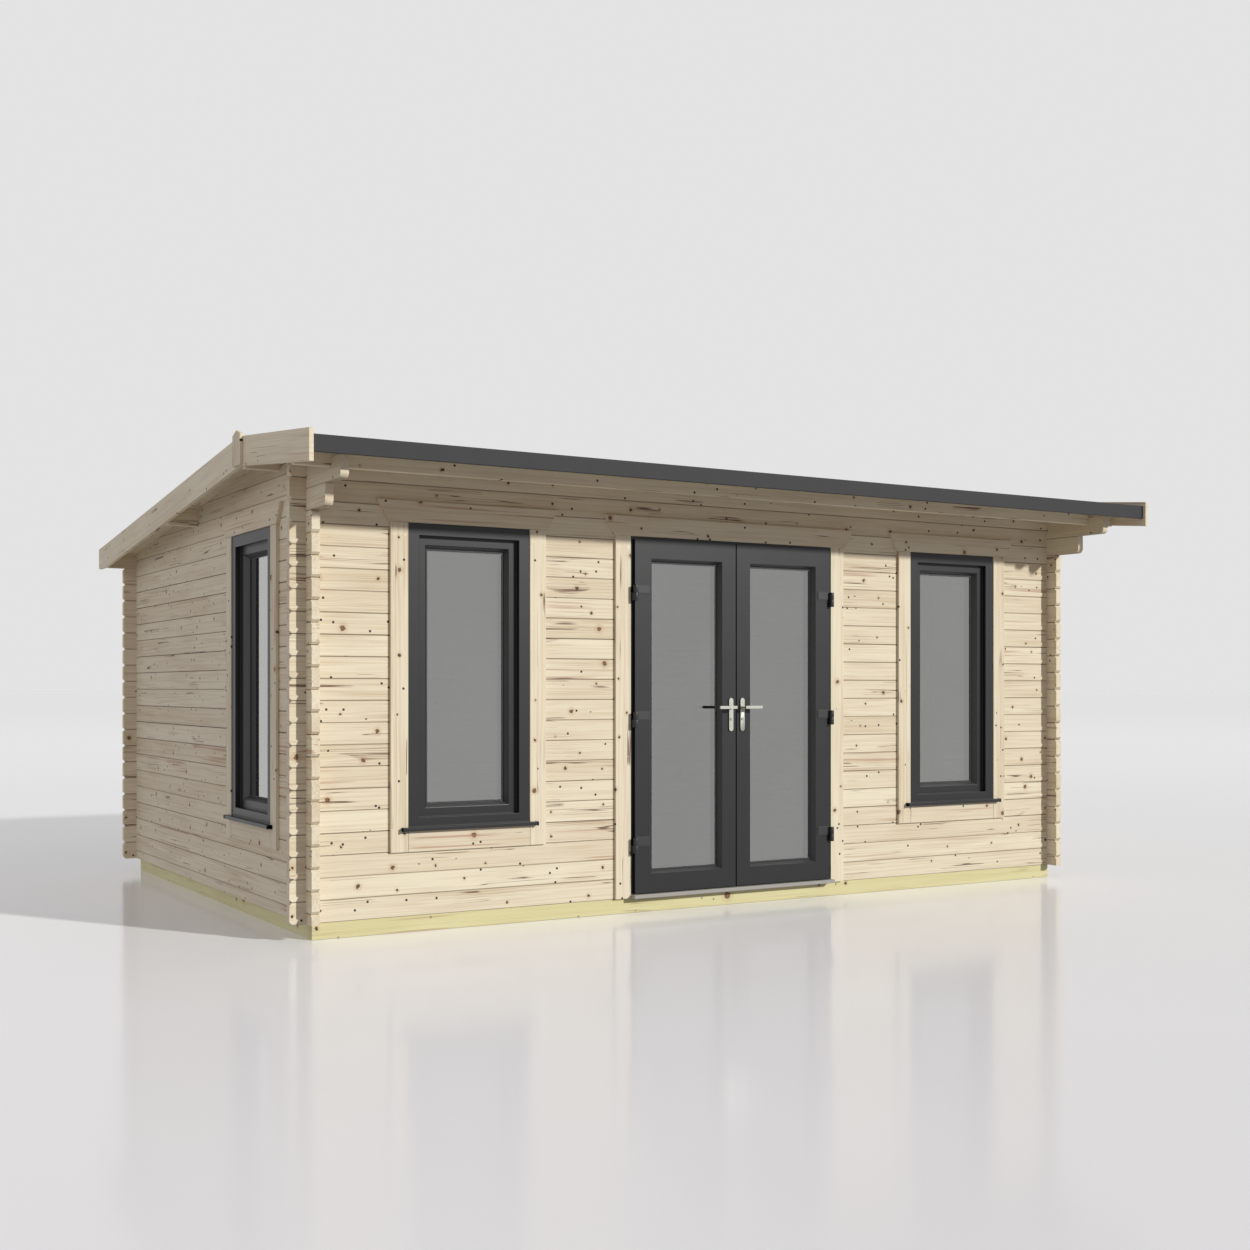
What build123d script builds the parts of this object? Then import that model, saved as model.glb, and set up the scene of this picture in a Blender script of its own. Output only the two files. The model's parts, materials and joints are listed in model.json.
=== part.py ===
from build123d import *
import os
from math import radians, sqrt, tan

# Garden office pod built of interlocking logs, in millimetres.
# X runs along the front wall, Y runs from the front to the rear, Z is up.
# The origin is on the ground at the middle of the roof's outline.

# Log walls
wall_width = 5296
wall_depth = 3636
log_height = 114
log_thickness = 44
log_end = 87
log_end_chamfer = 15
log_groove = 4

# Bearers and floor
bearer_height = 86
bearer_thickness = 60
bearer_side_setback = 32
bearer_front_setback = 3
bearer_rear_setback = 32
bearer_bays = 8
floor_thickness = 19

# Roof
ridge_height = 2622
ridge_setback = 446
roof_pitch = 5.78
front_overhang = 647
rear_overhang = 182
side_overhang = 210
barge_thickness = 24
barge_depth = 158
barge_rise = 28
barge_level_cut = 190
barge_joint_gap = 2
roof_covering = 5
roof_board = 28
fascia_setback = 21
fascia_height = 84
fascia_thickness = 20
finial_width = 133
finial_thickness = 18
finial_rise = 29
finial_shoulder = 23

# Purlins and the stepped corbels that carry the front one
purlin_height = 107
purlin_thickness = 58
eave_purlin_thickness = 44
eave_purlin_reach = 368
upper_corbel_reach = 497
lower_corbel_reach = 283
corbel_rounding = 30

# Windows, with their heads a given drop below the ridge
window_width = 720
window_height = 1626
window_head_drop = 456
front_window_offset = 1733
side_window_setback = 885
window_face = 12
window_depth = 100
window_frame_width = 65
window_sash_width = 65
window_sash_recess = 32
window_glass_recess = 70
window_splay = 17
sill_thickness = 20
sill_ear = 40
sill_drop = 5
sill_projection = 48

# Timber trim round windows and doors
trim_width = 100
trim_thickness = 18
trim_bottom_drop = 110
head_trim_height = 114
head_trim_thickness = 22
head_trim_bottom_ear = 7
head_trim_top_ear = 75

# Glazed doors, with their head a given drop below the ridge
door_half_width = 724
door_head_drop = 459
door_frame_face = 12
door_frame_depth = 70
door_frame_width = 48
door_stop = 20
door_stop_thickness = 15
threshold_height = 21
threshold_projection = 60
leaf_face = 32
leaf_thickness = 70
leaf_flange = 15
leaf_edge_setback = 20
leaf_meeting_gap = 8
leaf_body_meeting_gap = 24
leaf_top_clearance = 16
leaf_bottom_clearance = 5
leaf_body_clearance = 5
leaf_border = 126
leaf_meeting_border = 114
leaf_glass_recess = 40
leaf_splay = 17
glass_thickness = 24
glass_pocket = 12

# Door hinges, the upper one a given drop below the doors' head
hinge_reach = 4
hinge_stand_off = 15
hinge_height = 88
hinge_radius = 14
hinge_pin_radius = 6
hinge_pin_clearance = 0.3
hinge_knuckle_gap = 0.6
hinge_flag_width = 96
hinge_flag_height = 43
hinge_flag_thickness = 5
hinge_leg_reach = 14
lower_hinge_level = 345
middle_hinge_level = 1066
upper_hinge_drop = 370

# Door handles
handle_inset = 37
handle_plate_height = 197
handle_plate_width = 30
handle_plate_thickness = 8
handle_plate_bottom = 1035
lever_level = 1177
lever_length = 112
lever_width = 17
lever_thickness = 11
lever_stand_off = 58
boss_radius = 10
spindle_radius = 6
turning_clearance = 0.3

# Levels and faces worked out from the sizes above
half_width = wall_width / 2
overall_depth = front_overhang + wall_depth + rear_overhang
front_face = front_overhang - overall_depth / 2
rear_face = front_face + wall_depth
front_end = front_face - front_overhang
rear_end = rear_face + rear_overhang
ridge_y = front_face + ridge_setback
roof_slope = tan(radians(roof_pitch))
barge_face = half_width + side_overhang
barge_back = barge_face - barge_thickness
covering_drop = barge_rise
board_drop = covering_drop + roof_covering
deck_drop = board_drop + roof_board
wall_bottom = bearer_height
front_window_x = (-front_window_offset, front_window_offset)
side_window_y = front_face + side_window_setback
window_top = ridge_height - window_head_drop
window_bottom = window_top - window_height
door_top = ridge_height - door_head_drop
leaf_edge = door_half_width - leaf_edge_setback
leaf_front = front_face - leaf_face
leaf_rear = leaf_front + leaf_thickness
leaf_body_front = leaf_front + leaf_flange
leaf_body_edge = door_half_width - door_frame_width - leaf_body_clearance
leaf_bottom = wall_bottom + threshold_height + leaf_bottom_clearance
leaf_top = door_top - leaf_top_clearance
hinge_levels = (lower_hinge_level, middle_hinge_level, door_top - upper_hinge_drop)
hinge_x = leaf_edge + hinge_reach
hinge_y = leaf_front - hinge_stand_off
handle_x = leaf_meeting_gap / 2 + handle_inset


def roof_level(y, drop):
    """Level at y of a roof plane that lies a given drop below the top of the barge boards."""
    return ridge_height - abs(y - ridge_y) * roof_slope - drop


def joint_levels(first, top):
    """Levels of the joints between logs, from the first one up to just under the top."""
    levels = []
    level = first
    while level < top:
        levels.append(level)
        level += log_height
    return levels


wall_top = roof_level(ridge_y, deck_drop)
front_joints = joint_levels(wall_bottom, wall_top)
side_joints = joint_levels(wall_bottom + log_height / 2, wall_top)
rear_courses = int((roof_level(rear_face, deck_drop) - wall_bottom) / log_height)
rear_wall_top = wall_bottom + rear_courses * log_height
corbel_top = max(j for j in side_joints if j < roof_level(front_face, deck_drop))
corbel_middle = corbel_top - log_height
corbel_bottom = corbel_middle - log_height


def block(x_span, y_span, z_span, mode=Mode.ADD):
    """Box between two values on each axis."""
    centre = [sum(span) / 2 for span in (x_span, y_span, z_span)]
    size = [abs(span[1] - span[0]) for span in (x_span, y_span, z_span)]
    with Locations(tuple(centre)):
        Box(*size, mode=mode)


def log_stack(near, far, bottom, top, joints):
    """Outline of a log wall seen from its end, with a V groove on both faces at each joint."""
    inner = [j for j in joints if bottom + log_groove < j < top - log_groove]
    rising = [(near, bottom)]
    falling = [(far, top)]
    for j in inner:
        rising += [(near, j - log_groove), (near + log_groove, j), (near, j + log_groove)]
    for j in reversed(inner):
        falling += [(far, j + log_groove), (far - log_groove, j), (far, j - log_groove)]
    return rising + [(near, top)] + falling + [(far, bottom)]


def roof_outline(y_front, y_rear, bottom):
    """Outline under the roof boards between two values of y, down to a level."""
    points = [(y_front, bottom), (y_front, roof_level(y_front, deck_drop))]
    if y_front < ridge_y < y_rear:
        points.append((ridge_y, roof_level(ridge_y, deck_drop)))
    return points + [(y_rear, roof_level(y_rear, deck_drop)), (y_rear, bottom)]


def corner_slots(x, y, joints):
    """Housings that let the crossing logs of a corner lie in each other, half a log at a time."""
    with Locations(*[(x, y, j) for j in joints]):
        Box(log_thickness, log_thickness, log_height / 2, mode=Mode.SUBTRACT)


def end_notches(places, turn):
    """V cuts that take the corners off the free end of each log."""
    side = log_end_chamfer * sqrt(2)
    length = 2 * log_thickness
    with Locations(*places):
        Box(side if turn[1] else length, length if turn[1] else side, side, rotation=turn, mode=Mode.SUBTRACT)


# The space under the roof boards, which trims the top of every wall
with BuildPart() as under_roof:
    with BuildSketch(Plane.YZ.offset(-barge_face)):
        with BuildLine():
            Polyline(*roof_outline(front_end, rear_end, 0), close=True)
        make_face()
    extrude(amount=2 * barge_face)

# Bearers: two long ones under the front and rear walls, and short ones between them
bearer_x = half_width - bearer_side_setback
bearer_front = front_face + bearer_front_setback
bearer_rear = rear_face - bearer_rear_setback

with BuildPart() as long_bearers:
    block((-bearer_x, bearer_x), (bearer_front, bearer_front + bearer_thickness), (0, bearer_height))
    block((-bearer_x, bearer_x), (bearer_rear - bearer_thickness, bearer_rear), (0, bearer_height))

with BuildPart() as cross_bearers:
    bay = (2 * bearer_x - bearer_thickness) / bearer_bays
    for bearer in range(bearer_bays + 1):
        left = -bearer_x + bearer * bay
        inside = (bearer_front + bearer_thickness, bearer_rear - bearer_thickness)
        block((left, left + bearer_thickness), inside, (0, bearer_height))

# Floor of boards, laid on the bearers inside the walls
inner_x = half_width - log_thickness
with BuildPart() as floor_boards:
    inside = (front_face + log_thickness, rear_face - log_thickness)
    block((-inner_x, inner_x), inside, (wall_bottom, wall_bottom + floor_thickness))
    door_y = (front_face, front_face - door_frame_face + door_frame_depth)
    block((-door_half_width, door_half_width), door_y, (0, leaf_top), mode=Mode.SUBTRACT)


def purlin(y_front, y_rear, bottom):
    """Roof beam that runs from barge board to barge board, with its top cut to the slope."""
    with BuildPart() as beam:
        with BuildSketch(Plane.YZ.offset(-barge_back)):
            with BuildLine():
                Polyline(*roof_outline(y_front, y_rear, bottom), close=True)
            make_face()
        extrude(amount=2 * barge_back)
    return beam


def purlin_at(y_middle, thickness):
    """Purlin of the usual height, centred on a value of y."""
    front = y_middle - thickness / 2
    rear = y_middle + thickness / 2
    highest = max(roof_level(front, deck_drop), roof_level(rear, deck_drop))
    return purlin(front, rear, highest - purlin_height)


eave_y = front_face - eave_purlin_reach + eave_purlin_thickness / 2
rear_wall_y = rear_face - log_thickness / 2
front_eave_purlin = purlin_at(eave_y, eave_purlin_thickness)
ridge_purlin = purlin_at(ridge_y, purlin_thickness)
middle_purlin = purlin_at((ridge_y + rear_wall_y) / 2, purlin_thickness)
rear_eave_purlin = purlin(rear_face - log_thickness, rear_face, rear_wall_top)

# Front wall: the logs left and right of the doors, and the logs over the doors
corner_x = half_width - log_thickness / 2
front_wall_y = front_face + log_thickness / 2

with BuildPart() as front_wall_left:
    with BuildSketch(Plane.YZ.offset(-half_width - log_end)):
        with BuildLine():
            stack = log_stack(front_face, front_face + log_thickness, wall_bottom, wall_top, front_joints)
            Polyline(*stack, close=True)
        make_face()
    extrude(amount=half_width + log_end - door_half_width)
    corner_slots(-corner_x, front_wall_y, front_joints)
    end_notches([(-half_width - log_end, front_wall_y, j) for j in front_joints], (0, 45, 0))
    window_x = (front_window_x[0] - window_width / 2, front_window_x[0] + window_width / 2)
    through = (front_face - log_thickness, front_face + 2 * log_thickness)
    block(window_x, through, (window_bottom, window_top), mode=Mode.SUBTRACT)
    add(under_roof.part, mode=Mode.INTERSECT)

with BuildPart() as front_wall_right:
    mirror(front_wall_left.part, about=Plane.YZ)

with BuildPart() as front_wall_over_door:
    with BuildSketch(Plane.YZ.offset(-door_half_width)):
        with BuildLine():
            stack = log_stack(front_face, front_face + log_thickness, door_top, wall_top, front_joints)
            Polyline(*stack, close=True)
        make_face()
    extrude(amount=2 * door_half_width)
    add(under_roof.part, mode=Mode.INTERSECT)

# Rear wall
with BuildPart() as rear_wall:
    with BuildSketch(Plane.YZ.offset(-half_width - log_end)):
        with BuildLine():
            stack = log_stack(rear_face - log_thickness, rear_face, wall_bottom, rear_wall_top, front_joints)
            Polyline(*stack, close=True)
        make_face()
    extrude(amount=2 * (half_width + log_end))
    for side in (-1, 1):
        corner_slots(side * corner_x, rear_wall_y, front_joints)
        end_notches([(side * (half_width + log_end), rear_wall_y, j) for j in front_joints], (0, 45, 0))

# Side walls: gable-ended, with a window near the front corner
with BuildPart() as left_wall:
    with BuildSketch(Plane.XZ.offset(log_end - front_face)):
        with BuildLine():
            stack = log_stack(-half_width, -half_width + log_thickness, wall_bottom, wall_top, side_joints)
            Polyline(*stack, close=True)
        make_face()
    extrude(amount=-(wall_depth + 2 * log_end))
    corner_slots(-corner_x, front_wall_y, side_joints)
    corner_slots(-corner_x, rear_wall_y, side_joints)
    ends = [(-corner_x, y, j) for y in (front_face - log_end, rear_face + log_end) for j in side_joints]
    end_notches(ends, (45, 0, 0))
    window_y = (side_window_y - window_width / 2, side_window_y + window_width / 2)
    through = (-half_width - log_thickness, -half_width + 2 * log_thickness)
    block(through, window_y, (window_bottom, window_top), mode=Mode.SUBTRACT)
    block(through, (front_face - log_end, front_face), (corbel_bottom, corbel_top), mode=Mode.SUBTRACT)
    add(under_roof.part, mode=Mode.INTERSECT)
    for beam in (ridge_purlin, middle_purlin, rear_eave_purlin):
        add(beam.part, mode=Mode.SUBTRACT)

with BuildPart() as right_wall:
    mirror(left_wall.part, about=Plane.YZ)

# Corbels: the two top logs of each side wall run on as a stepped bracket
with BuildPart() as left_corbels:
    upper_nose = front_face - upper_corbel_reach
    lower_nose = front_face - lower_corbel_reach
    with BuildSketch(Plane.YZ.offset(-half_width)) as stepped:
        with BuildLine():
            Polyline(
                (front_face, corbel_top),
                (upper_nose, corbel_top),
                (upper_nose, corbel_middle),
                (lower_nose, corbel_middle),
                (lower_nose, corbel_bottom),
                (front_face, corbel_bottom),
                close=True,
            )
        make_face()
        for nose in (upper_nose, lower_nose):
            corners = stepped.vertices().filter_by_position(Axis.X, nose - 1, nose + 1)
            fillet(corners.sort_by(Axis.Y)[0], corbel_rounding)
    extrude(amount=log_thickness)
    with Locations((-half_width, front_face, corbel_middle), (-half_width + log_thickness, front_face, corbel_middle)):
        groove = log_groove * sqrt(2)
        Box(groove, 2 * lower_corbel_reach, groove, rotation=(0, 45, 0), mode=Mode.SUBTRACT)
    add(front_eave_purlin.part, mode=Mode.SUBTRACT)

with BuildPart() as right_corbels:
    mirror(left_corbels.part, about=Plane.YZ)


def roof_slab(y_ends, bottom_drop, top_drop):
    """Slab of the roof that follows one slope between two values of y."""
    near, far = y_ends
    with BuildPart() as slab:
        with BuildSketch(Plane.YZ.offset(-barge_back)):
            with BuildLine():
                Polyline(
                    (near, roof_level(near, bottom_drop)),
                    (near, roof_level(near, top_drop)),
                    (far, roof_level(far, top_drop)),
                    (far, roof_level(far, bottom_drop)),
                    close=True,
                )
            make_face()
        extrude(amount=2 * barge_back)
    return slab


# Roof boards and covering on both slopes, between the fascias
front_fascia_y = front_end + fascia_setback
rear_fascia_y = rear_end - fascia_setback
front_slope = (front_fascia_y + fascia_thickness, ridge_y)
rear_slope = (ridge_y, rear_fascia_y - fascia_thickness)
front_roof_boards = roof_slab(front_slope, deck_drop, board_drop)
rear_roof_boards = roof_slab(rear_slope, deck_drop, board_drop)
front_roof_covering = roof_slab(front_slope, board_drop, covering_drop)
rear_roof_covering = roof_slab(rear_slope, board_drop, covering_drop)

# Fascias along both eaves
with BuildPart() as front_fascia:
    top = roof_level(front_fascia_y + fascia_thickness, covering_drop)
    block((-barge_back, barge_back), (front_fascia_y, front_slope[0]), (top - fascia_height, top))

with BuildPart() as rear_fascia:
    top = roof_level(rear_fascia_y - fascia_thickness, covering_drop)
    block((-barge_back, barge_back), (rear_slope[1], rear_fascia_y), (top - fascia_height, top))

# Barge boards: one for each slope, which meet behind the finial
with BuildPart() as left_barge_boards:
    with BuildSketch(Plane.YZ.offset(-barge_face)):
        with BuildLine():
            joint = ridge_y - barge_joint_gap / 2
            Polyline(
                (front_end, roof_level(front_end, 0)),
                (joint, roof_level(joint, 0)),
                (joint, roof_level(joint, barge_depth)),
                (front_end, roof_level(front_end, barge_depth)),
                close=True,
            )
        make_face()
        with BuildLine():
            joint = ridge_y + barge_joint_gap / 2
            cut_start = rear_end - barge_level_cut
            Polyline(
                (joint, roof_level(joint, 0)),
                (rear_end, roof_level(rear_end, 0)),
                (rear_end, roof_level(cut_start, barge_depth)),
                (cut_start, roof_level(cut_start, barge_depth)),
                (joint, roof_level(joint, barge_depth)),
                close=True,
            )
        make_face()
    extrude(amount=barge_thickness)

with BuildPart() as right_barge_boards:
    mirror(left_barge_boards.part, about=Plane.YZ)

# Finials: pointed boards over the joint of the barge boards
with BuildPart() as ridge_finials:
    with BuildSketch(Plane.YZ.offset(barge_face)):
        with BuildLine():
            half = finial_width / 2
            peak = ridge_height + finial_rise
            foot = ridge_height - barge_depth
            Polyline(
                (ridge_y, peak),
                (ridge_y + half, peak - finial_shoulder),
                (ridge_y + half, foot),
                (ridge_y - half, foot),
                (ridge_y - half, peak - finial_shoulder),
                close=True,
            )
        make_face()
    extrude(amount=finial_thickness)
    mirror(about=Plane.YZ)


def splayed_opening(x_span, y_span, z_span, splay):
    """Opening for glass whose sides splay out from the glass to the front face."""
    centre = (sum(x_span) / 2, sum(z_span) / 2)
    size = (x_span[1] - x_span[0], z_span[1] - z_span[0])
    with BuildPart() as opening:
        with BuildSketch(Plane.XZ.offset(-y_span[1])):
            with Locations(centre):
                Rectangle(*size)
        with BuildSketch(Plane.XZ.offset(-y_span[0])):
            with Locations(centre):
                Rectangle(size[0] + 2 * splay, size[1] + 2 * splay)
        loft()
    return opening


def window_frame(x):
    """Window frame, sash and sill in one, seen from the front, centred on a value of x."""
    half = window_width / 2
    face = front_face - window_face
    rear = face + window_depth
    sash_face = face + window_sash_recess
    glass_face = face + window_glass_recess
    opening = half - window_frame_width
    clear = opening - window_sash_width
    low = window_bottom + window_frame_width
    high = window_top - window_frame_width
    clear_x = (x - clear, x + clear)
    clear_z = (low + window_sash_width, high - window_sash_width)
    splayed = splayed_opening(clear_x, (sash_face, glass_face), clear_z, window_splay)
    with BuildPart() as frame:
        block((x - half, x + half), (face, rear), (window_bottom, window_top))
        block((x - opening, x + opening), (face, sash_face), (low, high), mode=Mode.SUBTRACT)
        add(splayed.part, mode=Mode.SUBTRACT)
        block(clear_x, (glass_face, rear), clear_z, mode=Mode.SUBTRACT)
        pocket_x = (clear_x[0] - glass_pocket, clear_x[1] + glass_pocket)
        pocket_z = (clear_z[0] - glass_pocket, clear_z[1] + glass_pocket)
        block(pocket_x, (glass_face, glass_face + glass_thickness), pocket_z, mode=Mode.SUBTRACT)
        sill_z = (window_bottom - sill_drop, window_bottom - sill_drop + sill_thickness)
        block((x - half, x + half), (front_face - trim_thickness, face), sill_z)
        nose = (front_face - sill_projection, front_face - trim_thickness)
        block((x - half - sill_ear, x + half + sill_ear), nose, sill_z)
    return frame


def window_glass(x):
    """Sealed glass unit of a window, in the pocket of its sash."""
    half = window_width / 2 - window_frame_width - window_sash_width + glass_pocket
    margin = window_frame_width + window_sash_width - glass_pocket
    glass_face = front_face - window_face + window_glass_recess
    with BuildPart() as glass:
        levels = (window_bottom + margin, window_top - margin)
        block((x - half, x + half), (glass_face, glass_face + glass_thickness), levels)
    return glass


def head_trim(x, half, bottom):
    """Head board over an opening, wider at its top."""
    with BuildSketch(Plane.XZ.offset(-front_face)) as board:
        with BuildLine():
            Polyline(
                (x - half - head_trim_bottom_ear, bottom),
                (x - half - head_trim_top_ear, bottom + head_trim_height),
                (x + half + head_trim_top_ear, bottom + head_trim_height),
                (x + half + head_trim_bottom_ear, bottom),
                close=True,
            )
        make_face()
    extrude(board.sketch, amount=head_trim_thickness)


def window_trim(x):
    """Timber trim of a window: two sides, a board under the sill and a head board."""
    half = window_width / 2
    low = window_bottom - sill_drop - trim_bottom_drop
    face = (front_face - trim_thickness, front_face)
    with BuildPart() as trim:
        for side in (-1, 1):
            block((x + side * half, x + side * (half + trim_width)), face, (low, window_top))
        block((x - half, x + half), face, (low, window_bottom - sill_drop))
        head_trim(x, half + trim_width, window_top)
    return trim


def pair(piece):
    """A piece on the left of the front wall and the same one on the right."""
    with BuildPart() as both:
        add(piece.part)
        mirror(piece.part, about=Plane.YZ)
    return both


def on_side_walls(maker):
    """A window piece turned onto the left wall, and the same one on the right wall."""
    piece = maker(0)
    to_left_wall = Pos(-half_width, side_window_y, 0) * Rot(0, 0, -90) * Pos(0, -front_face, 0)
    turned = to_left_wall * piece.part
    with BuildPart() as both:
        add(turned)
        mirror(turned, about=Plane.YZ)
    return both


front_window_frames = pair(window_frame(front_window_x[0]))
front_window_glass = pair(window_glass(front_window_x[0]))
front_window_trims = pair(window_trim(front_window_x[0]))
side_window_frames = on_side_walls(window_frame)
side_window_glass = on_side_walls(window_glass)
side_window_trims = on_side_walls(window_trim)

# Door frame: two jambs and a head, each with a stop behind the leaves
frame_y = (front_face - door_frame_face, front_face - door_frame_face + door_frame_depth)
stop_y = (frame_y[1] - door_stop_thickness, frame_y[1])
frame_opening = door_half_width - door_frame_width
head_level = door_top - door_frame_width
with BuildPart() as door_jambs:
    for side in (-1, 1):
        block((side * frame_opening, side * door_half_width), frame_y, (wall_bottom, head_level))
        stop_x = (side * frame_opening, side * (frame_opening - door_stop))
        block(stop_x, stop_y, (wall_bottom + threshold_height, head_level))

with BuildPart() as door_head:
    block((-door_half_width, door_half_width), frame_y, (head_level, door_top))
    block((-frame_opening + door_stop, frame_opening - door_stop), stop_y, (head_level - door_stop, head_level))

with BuildPart() as door_threshold:
    block((-frame_opening, frame_opening), frame_y, (wall_bottom, wall_bottom + threshold_height))
    nose = (front_face - threshold_projection, frame_y[0])
    block((-door_half_width, door_half_width), nose, (wall_bottom, wall_bottom + threshold_height))

with BuildPart() as door_side_trims:
    face = (front_face - trim_thickness, front_face)
    for side in (-1, 1):
        board = (side * door_half_width, side * (door_half_width + trim_width))
        block(board, face, (wall_bottom, door_top))

with BuildPart() as door_head_trim:
    head_trim(0, door_half_width + trim_width, door_top)

# Left leaf of the doors: a front flange laps the frame, the body fits inside it
glass_x = (-leaf_edge + leaf_border, -leaf_meeting_gap / 2 - leaf_meeting_border)
glass_z = (leaf_bottom + leaf_border, leaf_top - leaf_border)
glass_y = (leaf_front + leaf_glass_recess, leaf_front + leaf_glass_recess + glass_thickness)
splayed_glass = splayed_opening(glass_x, (leaf_front, glass_y[0]), glass_z, leaf_splay)
with BuildPart() as left_door_leaf:
    block((-leaf_edge, -leaf_meeting_gap / 2), (leaf_front, leaf_body_front), (leaf_bottom, leaf_top))
    body_top = head_level - leaf_body_clearance
    body = (-leaf_body_edge, -leaf_body_meeting_gap / 2)
    block(body, (leaf_body_front, leaf_rear), (leaf_bottom, body_top))
    add(splayed_glass.part, mode=Mode.SUBTRACT)
    block(glass_x, (glass_y[0], leaf_rear), glass_z, mode=Mode.SUBTRACT)
    pocket_x = (glass_x[0] - glass_pocket, glass_x[1] + glass_pocket)
    pocket_z = (glass_z[0] - glass_pocket, glass_z[1] + glass_pocket)
    block(pocket_x, glass_y, pocket_z, mode=Mode.SUBTRACT)
    with Locations(Location((-handle_x, leaf_front, lever_level), (90, 0, 0))):
        Cylinder(spindle_radius + turning_clearance, 4 * leaf_thickness, mode=Mode.SUBTRACT)

with BuildPart() as left_door_glass:
    block(pocket_x, glass_y, pocket_z)

# Hinges: a bracket with a pin on the frame and a flag plate with the upper knuckle on the leaf
lower_knuckle = hinge_height - hinge_flag_height - hinge_knuckle_gap
hinge_pin_height = hinge_height - hinge_radius
with BuildPart() as left_hinge_brackets:
    for level in hinge_levels:
        with Locations((-hinge_x, hinge_y, level)):
            up = (Align.CENTER, Align.CENTER, Align.MIN)
            Cylinder(hinge_radius, lower_knuckle, align=up)
            Cylinder(hinge_pin_radius, hinge_pin_height, align=up)
        leg = (-hinge_x - hinge_leg_reach, -leaf_edge - leaf_body_clearance)
        block(leg, (hinge_y, frame_y[0]), (level, level + lower_knuckle))

door_hinge_brackets = pair(left_hinge_brackets)

with BuildPart() as left_door_hinge_flags:
    for level in hinge_levels:
        flag_bottom = level + hinge_height - hinge_flag_height
        with Locations((-hinge_x, hinge_y, flag_bottom)):
            Cylinder(hinge_radius, hinge_flag_height, align=(Align.CENTER, Align.CENTER, Align.MIN))
        flag_z = (flag_bottom, level + hinge_height)
        block((-hinge_x, -hinge_x + hinge_flag_width), (leaf_front - hinge_flag_thickness, leaf_front), flag_z)
    for level in hinge_levels:
        with Locations((-hinge_x, hinge_y, level)):
            bore = hinge_pin_height + hinge_knuckle_gap
            up = (Align.CENTER, Align.CENTER, Align.MIN)
            Cylinder(hinge_pin_radius + hinge_pin_clearance, bore, align=up, mode=Mode.SUBTRACT)

# Handle plates on both sides of the leaf
with BuildPart() as left_door_handle_plates:
    with BuildSketch(Plane.XZ.offset(-leaf_front)) as outer:
        with Locations((-handle_x, handle_plate_bottom + handle_plate_height / 2)):
            SlotOverall(handle_plate_height, handle_plate_width, rotation=90)
        with Locations((-handle_x, lever_level)):
            Circle(spindle_radius + turning_clearance, mode=Mode.SUBTRACT)
    extrude(amount=handle_plate_thickness)
    with BuildSketch(Plane.XZ.offset(-leaf_rear)) as inner:
        add(outer.sketch.moved(Location((0, leaf_thickness, 0))))
    extrude(amount=-handle_plate_thickness)

# Lever on both sides, on one spindle through the leaf
with BuildPart() as left_door_lever:
    spindle_ends = (leaf_front - lever_stand_off, leaf_rear + lever_stand_off)
    with Locations(Location((-handle_x, sum(spindle_ends) / 2, lever_level), (90, 0, 0))):
        Cylinder(spindle_radius, spindle_ends[1] - spindle_ends[0])
    for end in spindle_ends:
        inward = 1 if end < front_face else -1
        lever_y = (end, end + inward * lever_thickness)
        lever_x = (-handle_x - lever_length, -handle_x + boss_radius)
        lever_z = (lever_level - lever_width / 2, lever_level + lever_width / 2)
        block(lever_x, lever_y, lever_z)

pieces = {
    "long_bearers": long_bearers,
    "cross_bearers": cross_bearers,
    "floor_boards": floor_boards,
    "front_wall_left": front_wall_left,
    "front_wall_right": front_wall_right,
    "front_wall_over_door": front_wall_over_door,
    "left_wall": left_wall,
    "right_wall": right_wall,
    "rear_wall": rear_wall,
    "left_corbels": left_corbels,
    "right_corbels": right_corbels,
    "front_eave_purlin": front_eave_purlin,
    "ridge_purlin": ridge_purlin,
    "middle_purlin": middle_purlin,
    "rear_eave_purlin": rear_eave_purlin,
    "front_roof_boards": front_roof_boards,
    "rear_roof_boards": rear_roof_boards,
    "front_roof_covering": front_roof_covering,
    "rear_roof_covering": rear_roof_covering,
    "front_fascia": front_fascia,
    "rear_fascia": rear_fascia,
    "left_barge_boards": left_barge_boards,
    "right_barge_boards": right_barge_boards,
    "ridge_finials": ridge_finials,
    "front_window_frames": front_window_frames,
    "front_window_glass": front_window_glass,
    "front_window_trims": front_window_trims,
    "side_window_frames": side_window_frames,
    "side_window_glass": side_window_glass,
    "side_window_trims": side_window_trims,
    "door_jambs": door_jambs,
    "door_head": door_head,
    "door_threshold": door_threshold,
    "door_side_trims": door_side_trims,
    "door_head_trim": door_head_trim,
    "door_hinge_brackets": door_hinge_brackets,
}

# The left leaf's pieces, and the right leaf's as their mirror images
left_leaf_pieces = {
    "door_leaf": left_door_leaf,
    "door_glass": left_door_glass,
    "door_hinge_flags": left_door_hinge_flags,
    "door_handle_plates": left_door_handle_plates,
    "door_lever": left_door_lever,
}
for name, piece in left_leaf_pieces.items():
    with BuildPart() as mirrored:
        mirror(piece.part, about=Plane.YZ)
    pieces["left_" + name] = piece
    pieces["right_" + name] = mirrored

os.makedirs("parts", exist_ok=True)
for name, piece in pieces.items():
    piece.part.label = name
    export_step(piece.part, f"parts/{name}.step")
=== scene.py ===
# %% [markdown]
# # A garden office pod, finished in Blender
# The packed CAD model gives every solid its place, and this script gives those solids their looks.
# It works in metres, in the CAD frame: X runs along the front wall, Y to the rear and Z up.
# A CAD solid is never moved or changed. It gets a material, or a finished piece stands in its place.

import json
import math
from types import SimpleNamespace

import bmesh
import bpy
from mathutils import Matrix, Vector


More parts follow.
